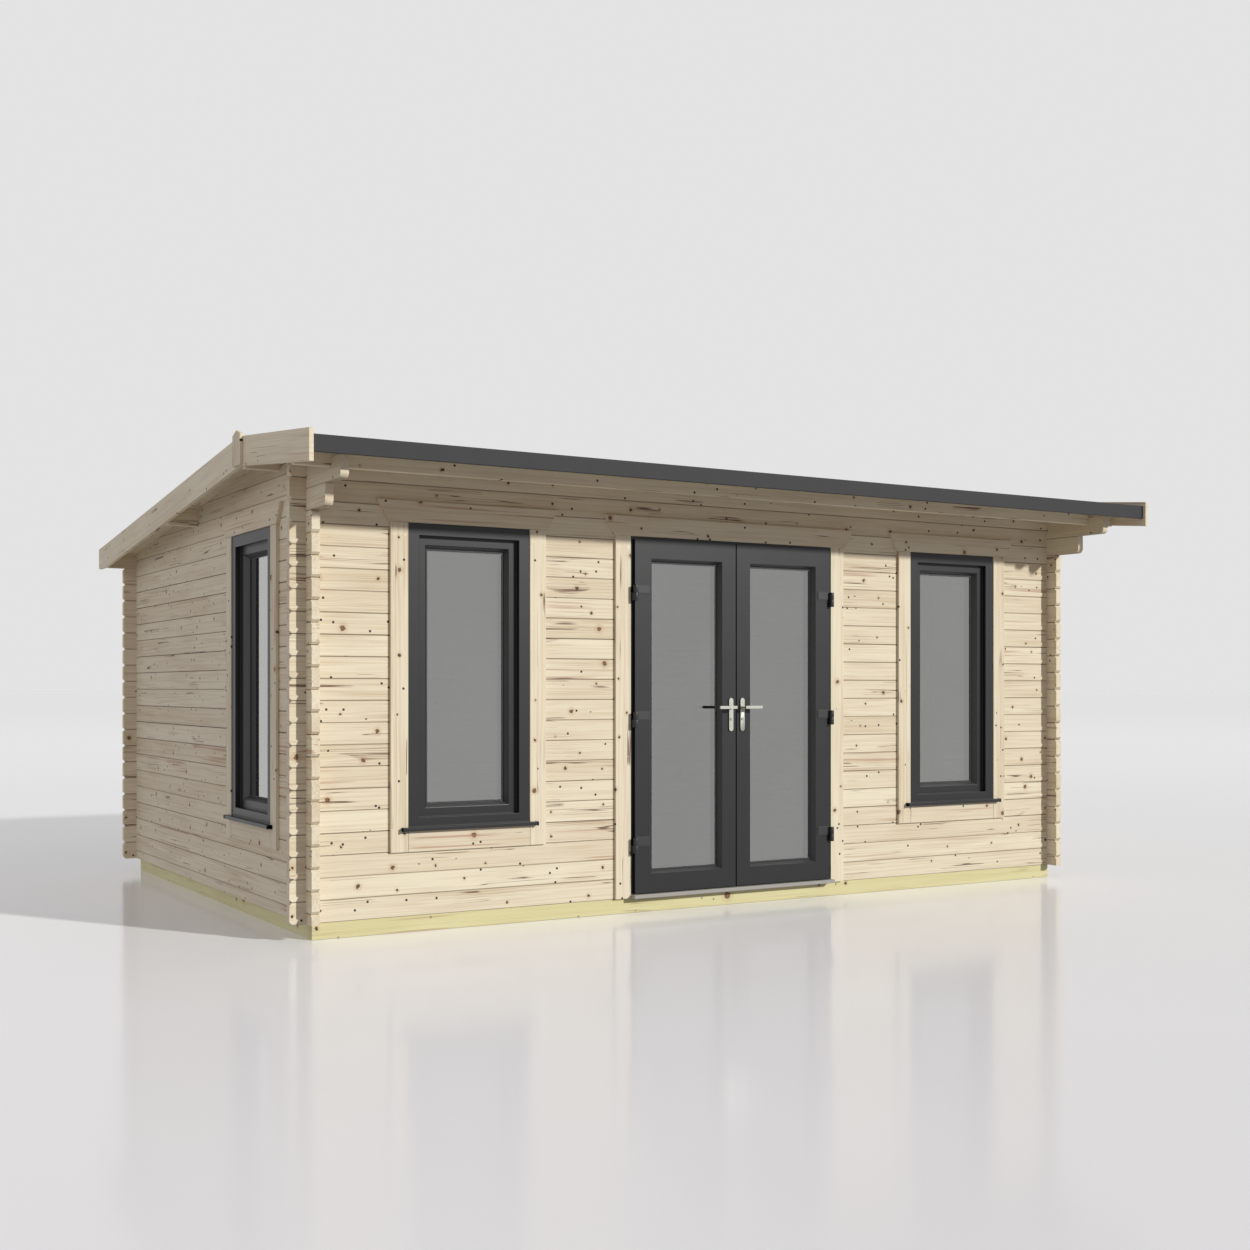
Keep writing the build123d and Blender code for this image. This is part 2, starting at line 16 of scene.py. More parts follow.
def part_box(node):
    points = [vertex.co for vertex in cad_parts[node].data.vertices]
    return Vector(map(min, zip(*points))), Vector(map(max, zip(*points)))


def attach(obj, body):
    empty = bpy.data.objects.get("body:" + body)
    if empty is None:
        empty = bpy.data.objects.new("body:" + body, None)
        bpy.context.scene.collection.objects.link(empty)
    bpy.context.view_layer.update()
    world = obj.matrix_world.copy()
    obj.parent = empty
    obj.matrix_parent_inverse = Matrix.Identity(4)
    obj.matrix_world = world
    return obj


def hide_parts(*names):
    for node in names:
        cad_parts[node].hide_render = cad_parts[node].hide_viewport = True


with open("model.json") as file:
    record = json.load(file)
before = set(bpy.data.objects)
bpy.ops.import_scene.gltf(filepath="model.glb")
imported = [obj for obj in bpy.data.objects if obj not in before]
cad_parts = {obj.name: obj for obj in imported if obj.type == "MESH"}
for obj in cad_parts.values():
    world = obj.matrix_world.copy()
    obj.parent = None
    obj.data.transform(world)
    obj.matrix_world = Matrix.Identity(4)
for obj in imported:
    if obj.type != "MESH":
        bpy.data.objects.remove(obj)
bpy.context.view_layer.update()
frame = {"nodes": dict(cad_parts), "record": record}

# %% [markdown]
# The record that comes with the model names each solid's slot, which says what it is made of, and its body,
# which says what it moves with: the house itself, a door leaf or a lever.

# %% What the record says of each node
nodes = frame["nodes"]
record = frame["record"]
slot_of = {part["node"]: part["material_slot"] for part in record["subparts"]}
bodies = record["behaviour"]["bodies"]
body_of = {node: body for body, members in bodies.items() for node in members}
print("CAD nodes:", len(nodes), "bodies:", sorted(bodies))

# %% [markdown]
# ## A short way to write node materials
# A material is a tree of nodes. It can be built by hand, with one call for each node and each link.
# Here a small class wraps a socket instead, so that a formula can be written as a formula.
# The operators come in pairs, so that 1 - mask works as well as mask - 1.


# %% Sockets that can be added and multiplied
class Value:
    """An output socket of a node tree."""

    def __init__(self, graph, socket):
        self.graph = graph
        self.socket = socket

    def __add__(self, other):
        return self.graph.math("ADD", self, other)

    def __radd__(self, other):
        return self.graph.math("ADD", other, self)

    def __sub__(self, other):
        return self.graph.math("SUBTRACT", self, other)

    def __rsub__(self, other):
        return self.graph.math("SUBTRACT", other, self)

    def __mul__(self, other):
        return self.graph.math("MULTIPLY", self, other)

    def __rmul__(self, other):
        return self.graph.math("MULTIPLY", other, self)

    def __truediv__(self, other):
        return self.graph.math("DIVIDE", self, other)

    def __rtruediv__(self, other):
        return self.graph.math("DIVIDE", other, self)

    def step(self, start, end):
        """Smooth step from 0 at start to 1 at end."""
        limits = {"Value": self, "From Min": start, "From Max": end}
        return self.graph.node("ShaderNodeMapRange", limits, interpolation_type="SMOOTHSTEP")


print("reflected operators:", [name for name in vars(Value) if name.startswith("__r")])

# %% [markdown]
# Every node comes from one method. It sets the node's settings first, because a setting such as a data type
# can change which sockets are in use, and then it fills the sockets with numbers, colours or links.
# The other methods are short names for the nodes that this file uses often.


# %% Node trees
class Graph:
    """The node tree of a material or of the world."""

    def __init__(self, owner):
        owner.use_nodes = True
        self.owner = owner
        self.tree = owner.node_tree
        self.tree.nodes.clear()

    def node(self, kind, sockets=None, output=0, **settings):
        """One node: its settings, then its sockets. Gives one output, or a list for a tuple of outputs."""
        made = self.tree.nodes.new(kind)
        for name, setting in settings.items():
            setattr(made, name, setting)
        for name, value in (sockets or {}).items():
            self.feed(made.inputs[name], value)
        if isinstance(output, tuple):
            return [Value(self, made.outputs[name]) for name in output]
        return Value(self, made.outputs[output])

    def feed(self, socket, value):
        """Links a value to a socket, or writes a number, a vector or a colour into it."""
        if isinstance(value, Value):
            self.tree.links.new(value.socket, socket)
        elif socket.type == "RGBA":
            socket.default_value = (*value, 1.0)
        else:
            socket.default_value = value

    def math(self, operation, *values):
        return self.node("ShaderNodeMath", dict(enumerate(values)), operation=operation)

    def vector(self, x, y, z=0.0):
        return self.node("ShaderNodeCombineXYZ", {0: x, 1: y, 2: z})

    def split(self, vector):
        """The three parts of a vector."""
        return self.node("ShaderNodeSeparateXYZ", {0: vector}, output=(0, 1, 2))

    def place(self):
        """The point's own x, y and z on the piece at rest, in metres."""
        return self.split(self.node("ShaderNodeTexCoord", output="Object"))

    def noise(self, vector, detail=2.0, rough=0.5):
        sockets = {"Vector": vector, "Scale": 1.0, "Detail": detail, "Roughness": rough}
        return self.node("ShaderNodeTexNoise", sockets)

    def even_noise(self, waves, detail):
        """Noise with the same number of waves a metre in every direction."""
        x, y, z = self.place()
        return self.noise(self.vector(x * waves, y * waves, z * waves), detail)

    def random(self, number):
        """A chance number from 0 to 1, the same wherever the given number is the same."""
        return self.node("ShaderNodeTexWhiteNoise", {"W": number}, noise_dimensions="1D")

    def mix(self, factor, first, second):
        """A colour between two colours. The Mix node has its colour sockets at 6 and 7."""
        return self.node("ShaderNodeMix", {0: factor, 6: first, 7: second}, output=2, data_type="RGBA")

    def bump(self, height, strength, distance=0.001):
        return self.node("ShaderNodeBump", {"Height": height, "Strength": strength, "Distance": distance})

    def finish(self, **looks):
        """Ends a material with one Principled shader. An underscore stands for a space in a socket's name."""
        sockets = {name.replace("_", " "): value for name, value in looks.items()}
        shader = self.node("ShaderNodeBsdfPrincipled", sockets)
        self.node("ShaderNodeOutputMaterial", {"Surface": shader}, output=())
        return self.owner


def new_material(name):
    return Graph(bpy.data.materials.new(name))


print("short names for nodes:", [name for name in vars(Graph) if not name.startswith("_")])

# %% [markdown]
# ## Wood: each point's place in its log
# The walls are untreated spruce logs, one on top of another. A photographed texture would show one set of
# knots again and again. Here each log is a piece of a tree of its own, worked out from the point's place.
# The first step finds how far along the log a point is, how high in it, and three chance numbers for the log.
# A barge board follows the roof, so its height is measured from the slope.
# Each entry of GRAIN_AXES says which axes of the model run along, up and through a log.

# %% The place of a point in its log
LOG_HEIGHT = 0.114
ROOF_DEGREES = 5.78
SLOPE = math.tan(math.radians(ROOF_DEGREES))
RIDGE_Y = (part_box("ridge_finials")[0].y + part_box("ridge_finials")[1].y) / 2
GRAIN_AXES = {"X": (0, 2, 1), "Y": (1, 2, 0), "Z": (2, 0, 1), "ZY": (2, 1, 0)}
END_GRAIN = (0.5, 0.8)
LONGEST_SLIDE = 41.0


def place_in_log(g, grain, first, pitch, seed, slope):
    """Lengths along, up and through a log, its course, and chance numbers that hold for the whole log."""
    axes = GRAIN_AXES[grain]
    place = g.place()
    along, up, through = (place[axis] for axis in axes)
    facing = g.split(g.node("ShaderNodeTexCoord", output="Normal"))[axes[0]]
    if slope:
        up = up + g.math("ABSOLUTE", along - RIDGE_Y) * slope
    course = g.math("FLOOR", (up - first) / pitch)
    chance = g.random(course + seed)
    return SimpleNamespace(
        pitch=pitch,
        seed=seed,
        along=along,
        up=up,
        through=through,
        side_grain=1.0 - g.math("ABSOLUTE", facing).step(*END_GRAIN),
        course=course,
        cells_up=(up - first) / pitch,
        level=(up - first) - course * pitch,
        chance=chance,
        second=g.random(course * 1.7 + seed + 31.0),
        third=g.random(course * 2.3 + seed + 57.0),
        slid=along + chance * LONGEST_SLIDE,
    )


print("roof slope:", round(SLOPE, 4), "ridge at y:", round(RIDGE_Y, 4))

# %% [markdown]
# ## Wood: grain
# A sawn face cuts through the tree's rings. The rings are a sine of the distance from the pith, and the pith
# wanders from side to side along the log. Streaks and fibres are noise that is drawn out along the grain:
# few waves in a metre along it, and many across it.

# %% Rings, streaks and fibres
RINGS_RATE = 1250.0
RINGS_RIPPLE = 9.0
PITH_WANDER = 0.07
PITH_DEPTH = (0.02, 0.09)
RIPPLE_WAVES = (2.5, 22.0)
STREAK_WAVES = (1.6, 75.0)
FIBRE_WAVES = (9.0, 520.0)
PATCH_WAVES = (1.1, 6.0)
RINGS_SHARE = 0.12
RINGS_IN_PATCHES = 0.4
STREAK_SHARE = 0.36
FIBRE_SHARE = 0.12
PATCH_SHARE = 0.15
LOG_SHARE = 0.36


def drawn_out(g, log, waves, detail, rough=0.5):
    """Noise with so many waves a metre along the grain and across it."""
    along, across = waves
    return g.noise(g.vector(log.slid * along, log.up * across, log.through * across), detail, rough)


def ring_pattern(g, log):
    pith = (log.second * 1.5 - 0.25) * log.pitch
    wander = (g.noise(g.vector(log.slid * 0.8, log.second * 9.0), 1.0) - 0.5) * PITH_WANDER
    depth = g.math("FRACT", log.through * 3.1 + log.third) * PITH_DEPTH[1] + PITH_DEPTH[0]
    across = log.level - pith + wander
    radius = g.math("SQRT", across * across + depth * depth)
    ripple = drawn_out(g, log, RIPPLE_WAVES, 2.0)
    return g.math("SINE", radius * RINGS_RATE + ripple * RINGS_RIPPLE) * 0.5 + 0.5


def grain_tone(g, log):
    """How dark the wood is, from 0 to 1, and the streaks and fibres that its surface also follows."""
    rings = ring_pattern(g, log)
    streak = drawn_out(g, log, STREAK_WAVES, 4.0, 0.6)
    fibre = drawn_out(g, log, FIBRE_WAVES, 2.0)
    along, across = PATCH_WAVES
    patch_place = g.vector(log.slid * along, log.up * across, log.through * across + log.chance * 5.0)
    patch = g.noise(patch_place, 2.0)
    tone = rings * (RINGS_SHARE + patch.step(0.4, 0.65) * RINGS_IN_PATCHES)
    tone = tone + streak.step(0.40, 0.66) * STREAK_SHARE + fibre * FIBRE_SHARE
    tone = tone + (log.chance - 0.5) * LOG_SHARE + patch.step(0.45, 0.8) * PATCH_SHARE
    return tone, streak, fibre


print("ring width in mm:", round(1000 * 2 * math.pi / RINGS_RATE, 1))

# %% [markdown]
# ## Wood: knots
# A knot is the foot of a branch. Small ones in this spruce are black, large ones are brown with a dark edge.
# A Voronoi pattern scatters points, one in each cell, with one row of cells for each log. The distance to a
# point is measured back in metres, so that knots stay round, and a little noise makes their outline uneven.
# Colour channels of the pattern are chance numbers for each cell: they choose a knot's size, and whether the
# cell has one at all.

# %% Knots and pin knots
KNOT_CELLS = 2.6
KNOT_SHARE = 0.75
SMALL_KNOT = 0.0062
KNOT_GROWTH = 0.009
KNOT_WOBBLE = 0.017
BLACK_KNOT = (0.02, 0.012, 0.008)
BROWN_KNOT = (0.17, 0.08, 0.03)
KNOT_EDGE = (0.03, 0.016, 0.01)
KNOT_HALO = (0.52, 0.32, 0.15)
HALO_STRENGTH = 0.45
LARGE_KNOTS = (0.75, 0.92)
PIN_CELLS = 9.0
PIN_RADIUS = (0.054, 0.070)


def add_knots(g, log, colour, amount, grown):
    """Round knots with a halo. Gives the colour and the knots' dark edge."""
    cell = g.vector(log.slid * KNOT_CELLS, log.cells_up)
    scatter = {"Vector": cell, "Scale": 1.0, "Randomness": 0.8}
    point, lots = g.node("ShaderNodeTexVoronoi", scatter, ("Position", "Color"), voronoi_dimensions="2D")
    lot, second_lot = g.node("ShaderNodeSeparateColor", {0: lots}, output=(0, 1))
    offset = g.node("ShaderNodeVectorMath", {0: cell, 1: point}, operation="SUBTRACT")
    cell_size = (1 / KNOT_CELLS, log.pitch, 0.0)
    metres = g.node("ShaderNodeVectorMath", {0: offset, 1: cell_size}, operation="MULTIPLY")
    uneven = g.noise(g.vector(log.along * 60.0, log.up * 95.0, log.through * 80.0), 2.0)
    length = g.node("ShaderNodeVectorMath", {0: metres}, output="Value", operation="LENGTH")
    distance = length + (uneven - 0.5) * KNOT_WOBBLE
    size = (SMALL_KNOT + lot * lot * lot * KNOT_GROWTH) * grown
    ratio = distance / size
    without = 1.0 - KNOT_SHARE * amount
    present = second_lot.step(without, without + 0.02) * log.side_grain
    knot = (1.0 - ratio.step(0.75, 1.1)) * present
    edge = knot * ratio.step(0.45, 0.95)
    eye = g.mix(lot.step(*LARGE_KNOTS), BLACK_KNOT, BROWN_KNOT)
    colour = g.mix((1.0 - ratio.step(0.8, 3.0)) * present * HALO_STRENGTH, colour, KNOT_HALO)
    colour = g.mix(knot * 0.95, colour, eye)
    return g.mix(edge * 0.8, colour, KNOT_EDGE), edge


def add_pin_knots(g, log, colour, amount):
    """Groups of small black knots, about 14 mm across."""
    cell = g.vector(log.slid * PIN_CELLS + 3.3, log.up * PIN_CELLS)
    distance = g.node("ShaderNodeTexVoronoi", {"Vector": cell, "Scale": 1.0}, voronoi_dimensions="2D")
    group = g.noise(g.vector(log.slid * 3.0, log.up * 9.0), 0.0).step(0.58, 0.60)
    pin = (1.0 - distance.step(*PIN_RADIUS)) * group * log.side_grain * amount
    return g.mix(pin, colour, BLACK_KNOT), pin


knot_sizes = [round(2000 * radius, 1) for radius in (SMALL_KNOT, SMALL_KNOT + KNOT_GROWTH)]
print("smallest and largest knot in mm across:", knot_sizes)

# %% [markdown]
# ## Wood: cracks, resin and joints
# Logs crack along the grain while they dry. A crack is long and thin, which is hard to get from plain noise.
# A contour line of noise is thin wherever it runs, so cracks are the places where drawn-out noise is close
# to one half, and a coarser noise picks where they show. Resin streaks are broader and reddish.
# A dark line stands for the dust and shade in the joint between two logs.

# %% Cracks, resin streaks and joint lines
CRACK_COLOUR = (0.11, 0.042, 0.02)
RESIN_COLOUR = (0.36, 0.16, 0.09)
JOINT_COLOUR = (0.15, 0.105, 0.07)
JOINT_EDGE = (0.001, 0.0042)
CRACK_EDGE = (0.005, 0.018)
RESIN_STRENGTH = 0.55


def add_resin(g, log, colour):
    streak = g.noise(g.vector(log.slid * 0.7, log.up * 60.0, log.through * 30.0), 2.0).step(0.56, 0.64)
    part = g.noise(g.vector(log.slid * 0.8 + 7.0, log.course * 2.9 + log.seed), 1.0).step(0.60, 0.68)
    return g.mix(streak * part * RESIN_STRENGTH, colour, RESIN_COLOUR)


def add_cracks(g, log, colour, strength):
    field = g.noise(g.vector(log.slid * 0.6, log.up * 40.0, log.through * 12.0), 2.0, 0.4)
    line = 1.0 - g.math("ABSOLUTE", field - 0.5).step(*CRACK_EDGE)
    part = g.noise(g.vector(log.slid * 2.4, log.up * 11.0 + log.seed, log.through * 3.0), 1.0)
    crack = line * part.step(0.59, 0.64) * log.side_grain
    return g.mix(crack * strength, colour, CRACK_COLOUR), crack


def add_joints(g, log, colour, strength):
    gap = g.math("MINIMUM", log.level, log.pitch - log.level)
    line = (1.0 - gap.step(*JOINT_EDGE)) * strength * (0.45 + log.second * 0.9)
    return g.mix(line, colour, JOINT_COLOUR)


print("joint lines are up to", 2000 * JOINT_EDGE[1], "mm wide")

# %% [markdown]
# ## Wood: the whole material
# The layers go on one after another, as they lie on the log: grain, knots, resin, cracks and joints.
# The same patterns raise and lower the surface a little, so that light from the side catches them.

# %% The wood material
SPRUCE = {"light": (0.79, 0.71, 0.53), "dark": (0.58, 0.46, 0.30)}


def wood(
    name,
    grain,
    first=0.0,
    pitch=LOG_HEIGHT,
    light=SPRUCE["light"],
    dark=SPRUCE["dark"],
    knots=1.0,
    grown=1.0,
    joint=0.0,
    cracks=0.9,
    seed=0.0,
    slope=0.0,
):
    """Softwood with its grain along one axis, or along the roof's slope, in boards of one pitch."""
    g = new_material(name)
    log = place_in_log(g, grain, first, pitch, seed, slope)
    tone, streak, fibre = grain_tone(g, log)
    colour = g.mix(tone, light, dark)
    colour, edge = add_knots(g, log, colour, knots, grown)
    colour, pin = add_pin_knots(g, log, colour, knots)
    colour = add_resin(g, log, colour)
    colour, crack = add_cracks(g, log, colour, cracks)
    colour = add_joints(g, log, colour, joint)
    height = fibre * 0.3 + streak * 0.6 - crack * 0.9 - edge * 0.8 - pin
    return g.finish(Base_Color=colour, Roughness=0.55 + streak * 0.2, Normal=g.bump(height, 0.35))


print("tones of the spruce:", SPRUCE)

# %% [markdown]
# ## Wood for every timber
# Each kind of timber gets a material of its own, with the grain along its length and a seed of its own.
# The side walls start with half a log, so their joints lie half a log higher than those of the front wall.
# The bearers are treated against rot, which leaves them yellowish green.

# %% Timber materials
wall_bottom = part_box("rear_wall")[0].z
side_first = wall_bottom + LOG_HEIGHT / 2
TRIM = {"light": (0.78, 0.70, 0.52), "dark": (0.60, 0.48, 0.32)}
FLOOR = {"light": (0.80, 0.66, 0.45), "dark": (0.62, 0.45, 0.26)}
BEARER = {
    "first": -0.01,
    "pitch": 0.12,
    "light": (0.70, 0.65, 0.35),
    "dark": (0.59, 0.52, 0.25),
    "knots": 0.55,
    "grown": 1.5,
    "cracks": 0.3,
}
timber = {
    "logs_x": wood("logs along x", "X", wall_bottom, joint=0.75),
    "logs_y": wood("logs along y", "Y", side_first, knots=0.9, grown=0.75, joint=0.75, seed=11.0),
    "beams": wood("purlins", "X", 0.3, 0.13, knots=1.2, grown=0.9, seed=23.0),
    "barge": wood("barge boards", "Y", 0.2, 0.6, seed=37.0, slope=SLOPE, **TRIM),
    "finial": wood("finials", "ZY", 0.1, 0.4, seed=41.0, **TRIM),
    "upright_x": wood("upright trims, front", "Z", 0.024, 0.1, seed=53.0, **TRIM),
    "upright_y": wood("upright trims, side", "ZY", 0.0, 0.1, seed=59.0, **TRIM),
    "head_x": wood("level trims, front", "X", 0.0, 0.3, seed=61.0, **TRIM),
    "head_y": wood("level trims, side", "Y", 0.0, 0.3, seed=67.0, **TRIM),
    "roof": wood("roof boards", "Y", 0.0, 0.6, seed=71.0),
    "floor": wood("floor boards", "X", 0.0, 0.09, seed=73.0, **FLOOR),
    "bearer_x": wood("bearers along x", "X", seed=83.0, **BEARER),
    "bearer_y": wood("bearers along y", "Y", seed=89.0, **BEARER),
}
print("timber materials:", len(timber))

# %% [markdown]
# ## Plastic and metal
# Window and door frames are dark plastic, the hinges dark metal and the handles brushed metal.
# One flat colour would look like paper, so a fine speckle and a soft cloud change the roughness and the tone.

# %% Plastic and metal
CLOUD_WAVES = 5.0
CLOUD_SHARE = 4.0
SHADED = 0.8
SPECKLE_HEIGHT = 0.0004


def plain(name, colour, roughness, metallic=0.0, grain=600.0, depth=0.05, spread=0.06, gloss=0.5):
    """One colour with a fine grain in its roughness and surface."""
    g = new_material(name)
    speckle = g.even_noise(grain, 2.0)
    cloud = g.even_noise(CLOUD_WAVES, 3.0)
    shade = g.mix(cloud * spread * CLOUD_SHARE, colour, tuple(part * SHADED for part in colour))
    rough = roughness + (speckle - 0.5) * spread + (cloud - 0.5) * spread
    surface = {"Roughness": rough, "Normal": g.bump(speckle, depth, SPECKLE_HEIGHT)}
    return g.finish(Base_Color=shade, Metallic=metallic, Specular_IOR_Level=gloss, **surface)


FRAME_COLOUR = (0.0155, 0.0155, 0.0165)
BRUSHED = {"metallic": 1.0, "depth": 0.01}
finish_of = {
    "dark_frame": plain("dark frame", FRAME_COLOUR, 0.35, gloss=0.34),
    "leaf_frame": plain("dark leaf", FRAME_COLOUR, 0.35, gloss=0.34),
    "fascia": plain("dark fascia", (0.030, 0.030, 0.032), 0.6, grain=300.0, gloss=0.25),
    "threshold_metal": plain("threshold metal", (0.36, 0.34, 0.31), 0.5, gloss=0.3),
    "hinge_metal": plain("hinge metal", (0.024, 0.024, 0.026), 0.4, gloss=0.4),
    "handle_metal": plain("handle metal", (0.33, 0.33, 0.295), 0.40, spread=0.02, **BRUSHED),
    # The bead material is the frame colour made lighter: painted light for the splayed faces round the glass.
    "bead": plain("glazing bead", (0.060, 0.060, 0.062), 0.35, gloss=0.55),
    "gasket": plain("gasket", (0.012, 0.012, 0.013), 0.6),
    "screw_metal": plain("screw metal", (0.55, 0.53, 0.48), 0.35, **BRUSHED),
}
print("plastic and metal materials:", len(finish_of))

# %% [markdown]
# ## Glass and roof sheet
# By day a window mirrors the sky and lets a little of the inside be seen. Real glass would need clear panes
# and a long render. A grey mirror that lets a part of the light through shows both.
# The roof sheet is bitumen felt with mineral grit: two greys mixed by fine noise, with faint stains.

# %% Glass and roof sheet
GLASS_ROUGHNESS = 0.02
HAZE_WAVES = 1.3
HAZE_SHARE = 0.25
HAZE_LIGHTER = 1.12
GRIT_WAVES = 900.0
DARK_GRIT = (0.030, 0.031, 0.034)
PALE_GRIT = (0.085, 0.086, 0.09)
STAIN_COLOUR = (0.10, 0.10, 0.098)


def glazing(name, colour, alpha):
    """Glass that shows a soft grey from outside and lets the inside be seen."""
    g = new_material(name)
    haze = g.even_noise(HAZE_WAVES, 2.0)
    shade = g.mix(haze.step(0.3, 0.7) * HAZE_SHARE, colour, tuple(part * HAZE_LIGHTER for part in colour))
    return g.finish(Base_Color=shade, Roughness=GLASS_ROUGHNESS, Metallic=1.0, Alpha=alpha)


def sheet(name):
    """Charcoal roof sheet with mineral grit."""
    g = new_material(name)
    x, y, z = g.place()
    grit = g.even_noise(GRIT_WAVES, 1.0)
    stain = g.noise(g.vector(x * 2.0, y * 0.8, z * 2.0), 4.0)
    shade = g.mix(grit.step(0.35, 0.7), DARK_GRIT, PALE_GRIT)
    shade = g.mix(stain.step(0.45, 0.8) * 0.35, shade, STAIN_COLOUR)
    return g.finish(Base_Color=shade, Roughness=0.85, Normal=g.bump(grit, 0.6, 0.0015))


finish_of["window_glass"] = glazing("window glass", (0.43, 0.43, 0.42), 0.70)
# The side panes get a lighter copy of the same glass: painted reflection, for the brighter sky they mirror at
# a slant.
finish_of["side_glass"] = glazing("side window glass", (0.62, 0.62, 0.615), 0.80)
finish_of["door_glass"] = glazing("door glass", (0.43, 0.43, 0.425), 0.66)
finish_of["roof_covering"] = sheet("roof sheet")
print("materials without wood:", len(finish_of))

# %% [markdown]
# ## Softened edges
# Sawn and moulded pieces have slightly rounded edges that catch light. A bevel needs whole faces, and the CAD
# mesh is loose triangles, so a copy is merged first and its flat triangles are joined.
# The copy then stands for its CAD node in the picture, and the node itself is hidden but kept.

# %% Copies with rounded edges
WELD_DISTANCE = 1e-5
FLAT_ANGLE = 1
BEVEL_STEPS = 2
BEVEL_ANGLE = 35


def keep(piece, name):
    """A finished piece takes the place and body of a CAD node, and the node is hidden."""
    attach(piece, body_of[name])
    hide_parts(name)
    return piece


def new_piece(name, data):
    piece = bpy.data.objects.new(name, data)
    bpy.context.collection.objects.link(piece)
    return piece


def made_plain(piece):
    """Runs the piece's modifiers once and keeps the result as a plain mesh."""
    graph = bpy.context.evaluated_depsgraph_get()
    result = bpy.data.meshes.new_from_object(piece.evaluated_get(graph))
    piece.modifiers.clear()
    piece.data = result
    return piece


def merged_copy(name):
    mesh = nodes[name].data.copy()
    mesh.materials.clear()
    work = bmesh.new()
    work.from_mesh(mesh)
    bmesh.ops.remove_doubles(work, verts=work.verts, dist=WELD_DISTANCE)
    bmesh.ops.dissolve_limit(work, angle_limit=math.radians(FLAT_ANGLE), verts=work.verts, edges=work.edges)
    work.to_mesh(mesh)
    work.free()
    return new_piece(name + "_finished", mesh)


def softened(name, width):
    piece = merged_copy(name)
    bevel = piece.modifiers.new("bevel", "BEVEL")
    bevel.width = width
    bevel.segments = BEVEL_STEPS
    bevel.limit_method = "ANGLE"
    bevel.angle_limit = math.radians(BEVEL_ANGLE)
    bevel.harden_normals = False
    return keep(made_plain(piece), name)


print("edges sharper than", BEVEL_ANGLE, "degrees are rounded")

# %% [markdown]
# The rounding is as wide as on the real piece: 1.5 mm on hinges, 2 mm on boards and bearers, 3 mm on beams
# and plastic frames, and so wide on the levers that they are nearly round.

# %% Pieces that get rounded edges
EDGE_WIDTHS = {
    "long_bearers": 0.002,
    "cross_bearers": 0.002,
    "front_eave_purlin": 0.003,
    "ridge_purlin": 0.003,
    "middle_purlin": 0.003,
    "left_corbels": 0.003,
    "right_corbels": 0.003,
    "left_barge_boards": 0.002,
    "right_barge_boards": 0.002,
    "ridge_finials": 0.002,
    "front_fascia": 0.002,
    "rear_fascia": 0.002,
    "door_side_trims": 0.002,
    "door_head_trim": 0.002,
    "front_window_frames": 0.003,
    "side_window_frames": 0.003,
    "left_door_leaf": 0.003,
    "right_door_leaf": 0.003,
    "door_jambs": 0.002,
    "door_head": 0.002,
    "door_threshold": 0.002,
    "left_door_handle_plates": 0.0025,
    "right_door_handle_plates": 0.0025,
    "left_door_lever": 0.0045,
    "right_door_lever": 0.0045,
    "left_door_hinge_flags": 0.0015,
    "right_door_hinge_flags": 0.0015,
    "door_hinge_brackets": 0.0015,
}
shown = {name: softened(name, width) for name, width in EDGE_WIDTHS.items()}
print("softened pieces:", len(shown))

# %% [markdown]
# ## A row of boards in Geometry Nodes
# The floor, the roof and its sheet are rows of equal boards. They could be modelled one by one.
# A Geometry Nodes tree makes a whole row from a count, a pitch and a size, which are its named inputs.
# It ends in Realize Instances and Set Material, and the result is kept as a plain mesh.


# %% Tools for Geometry Nodes trees
def new_tree(name, inputs):
    """An empty tree with named inputs. Gives the tree, the inputs' identifiers and the tree's two ends."""
    tree = bpy.data.node_groups.new(name, "GeometryNodeTree")
    tree.interface.new_socket("Geometry", in_out="INPUT", socket_type="NodeSocketGeometry")
    identifiers = {}
    for label, kind in inputs.items():
        identifiers[label] = tree.interface.new_socket(label, in_out="INPUT", socket_type=kind).identifier
    tree.interface.new_socket("Geometry", in_out="OUTPUT", socket_type="NodeSocketGeometry")
    start = tree.nodes.new("NodeGroupInput")
    end = tree.nodes.new("NodeGroupOutput")
    return tree, identifiers, start, end


def add_node(tree, kind, sockets):
    """One node, with links or numbers in its sockets. Gives its first output."""
    node = tree.nodes.new(kind)
    for key, value in sockets.items():
        if hasattr(value, "is_output"):
            tree.links.new(value, node.inputs[key])
        else:
            node.inputs[key].default_value = value
    return node.outputs[0]


def close_tree(tree, placed, material, end):
    """Real geometry with its material, linked to the tree's output."""
    real = add_node(tree, "GeometryNodeRealizeInstances", {0: placed})
    painted = add_node(tree, "GeometryNodeSetMaterial", {0: real, "Material": material})
    tree.links.new(painted, end.inputs[0])


def run_tree(name, tree, identifiers, values, points=()):
    """Runs a tree on a mesh of loose points and returns the result as a plain mesh object."""
    mesh = bpy.data.meshes.new(name)
    mesh.from_pydata([tuple(point) for point in points], [], [])
    piece = new_piece(name, mesh)
    modifier = piece.modifiers.new("nodes", "NODES")
    modifier.node_group = tree
    for label, value in values.items():
        modifier[identifiers[label]] = value
    return made_plain(piece)


# %% [markdown]
# The tree for boards is short: a line of points, a box on each point, then real geometry and its material.
# The boards' own edges are rounded afterwards, on the plain mesh.

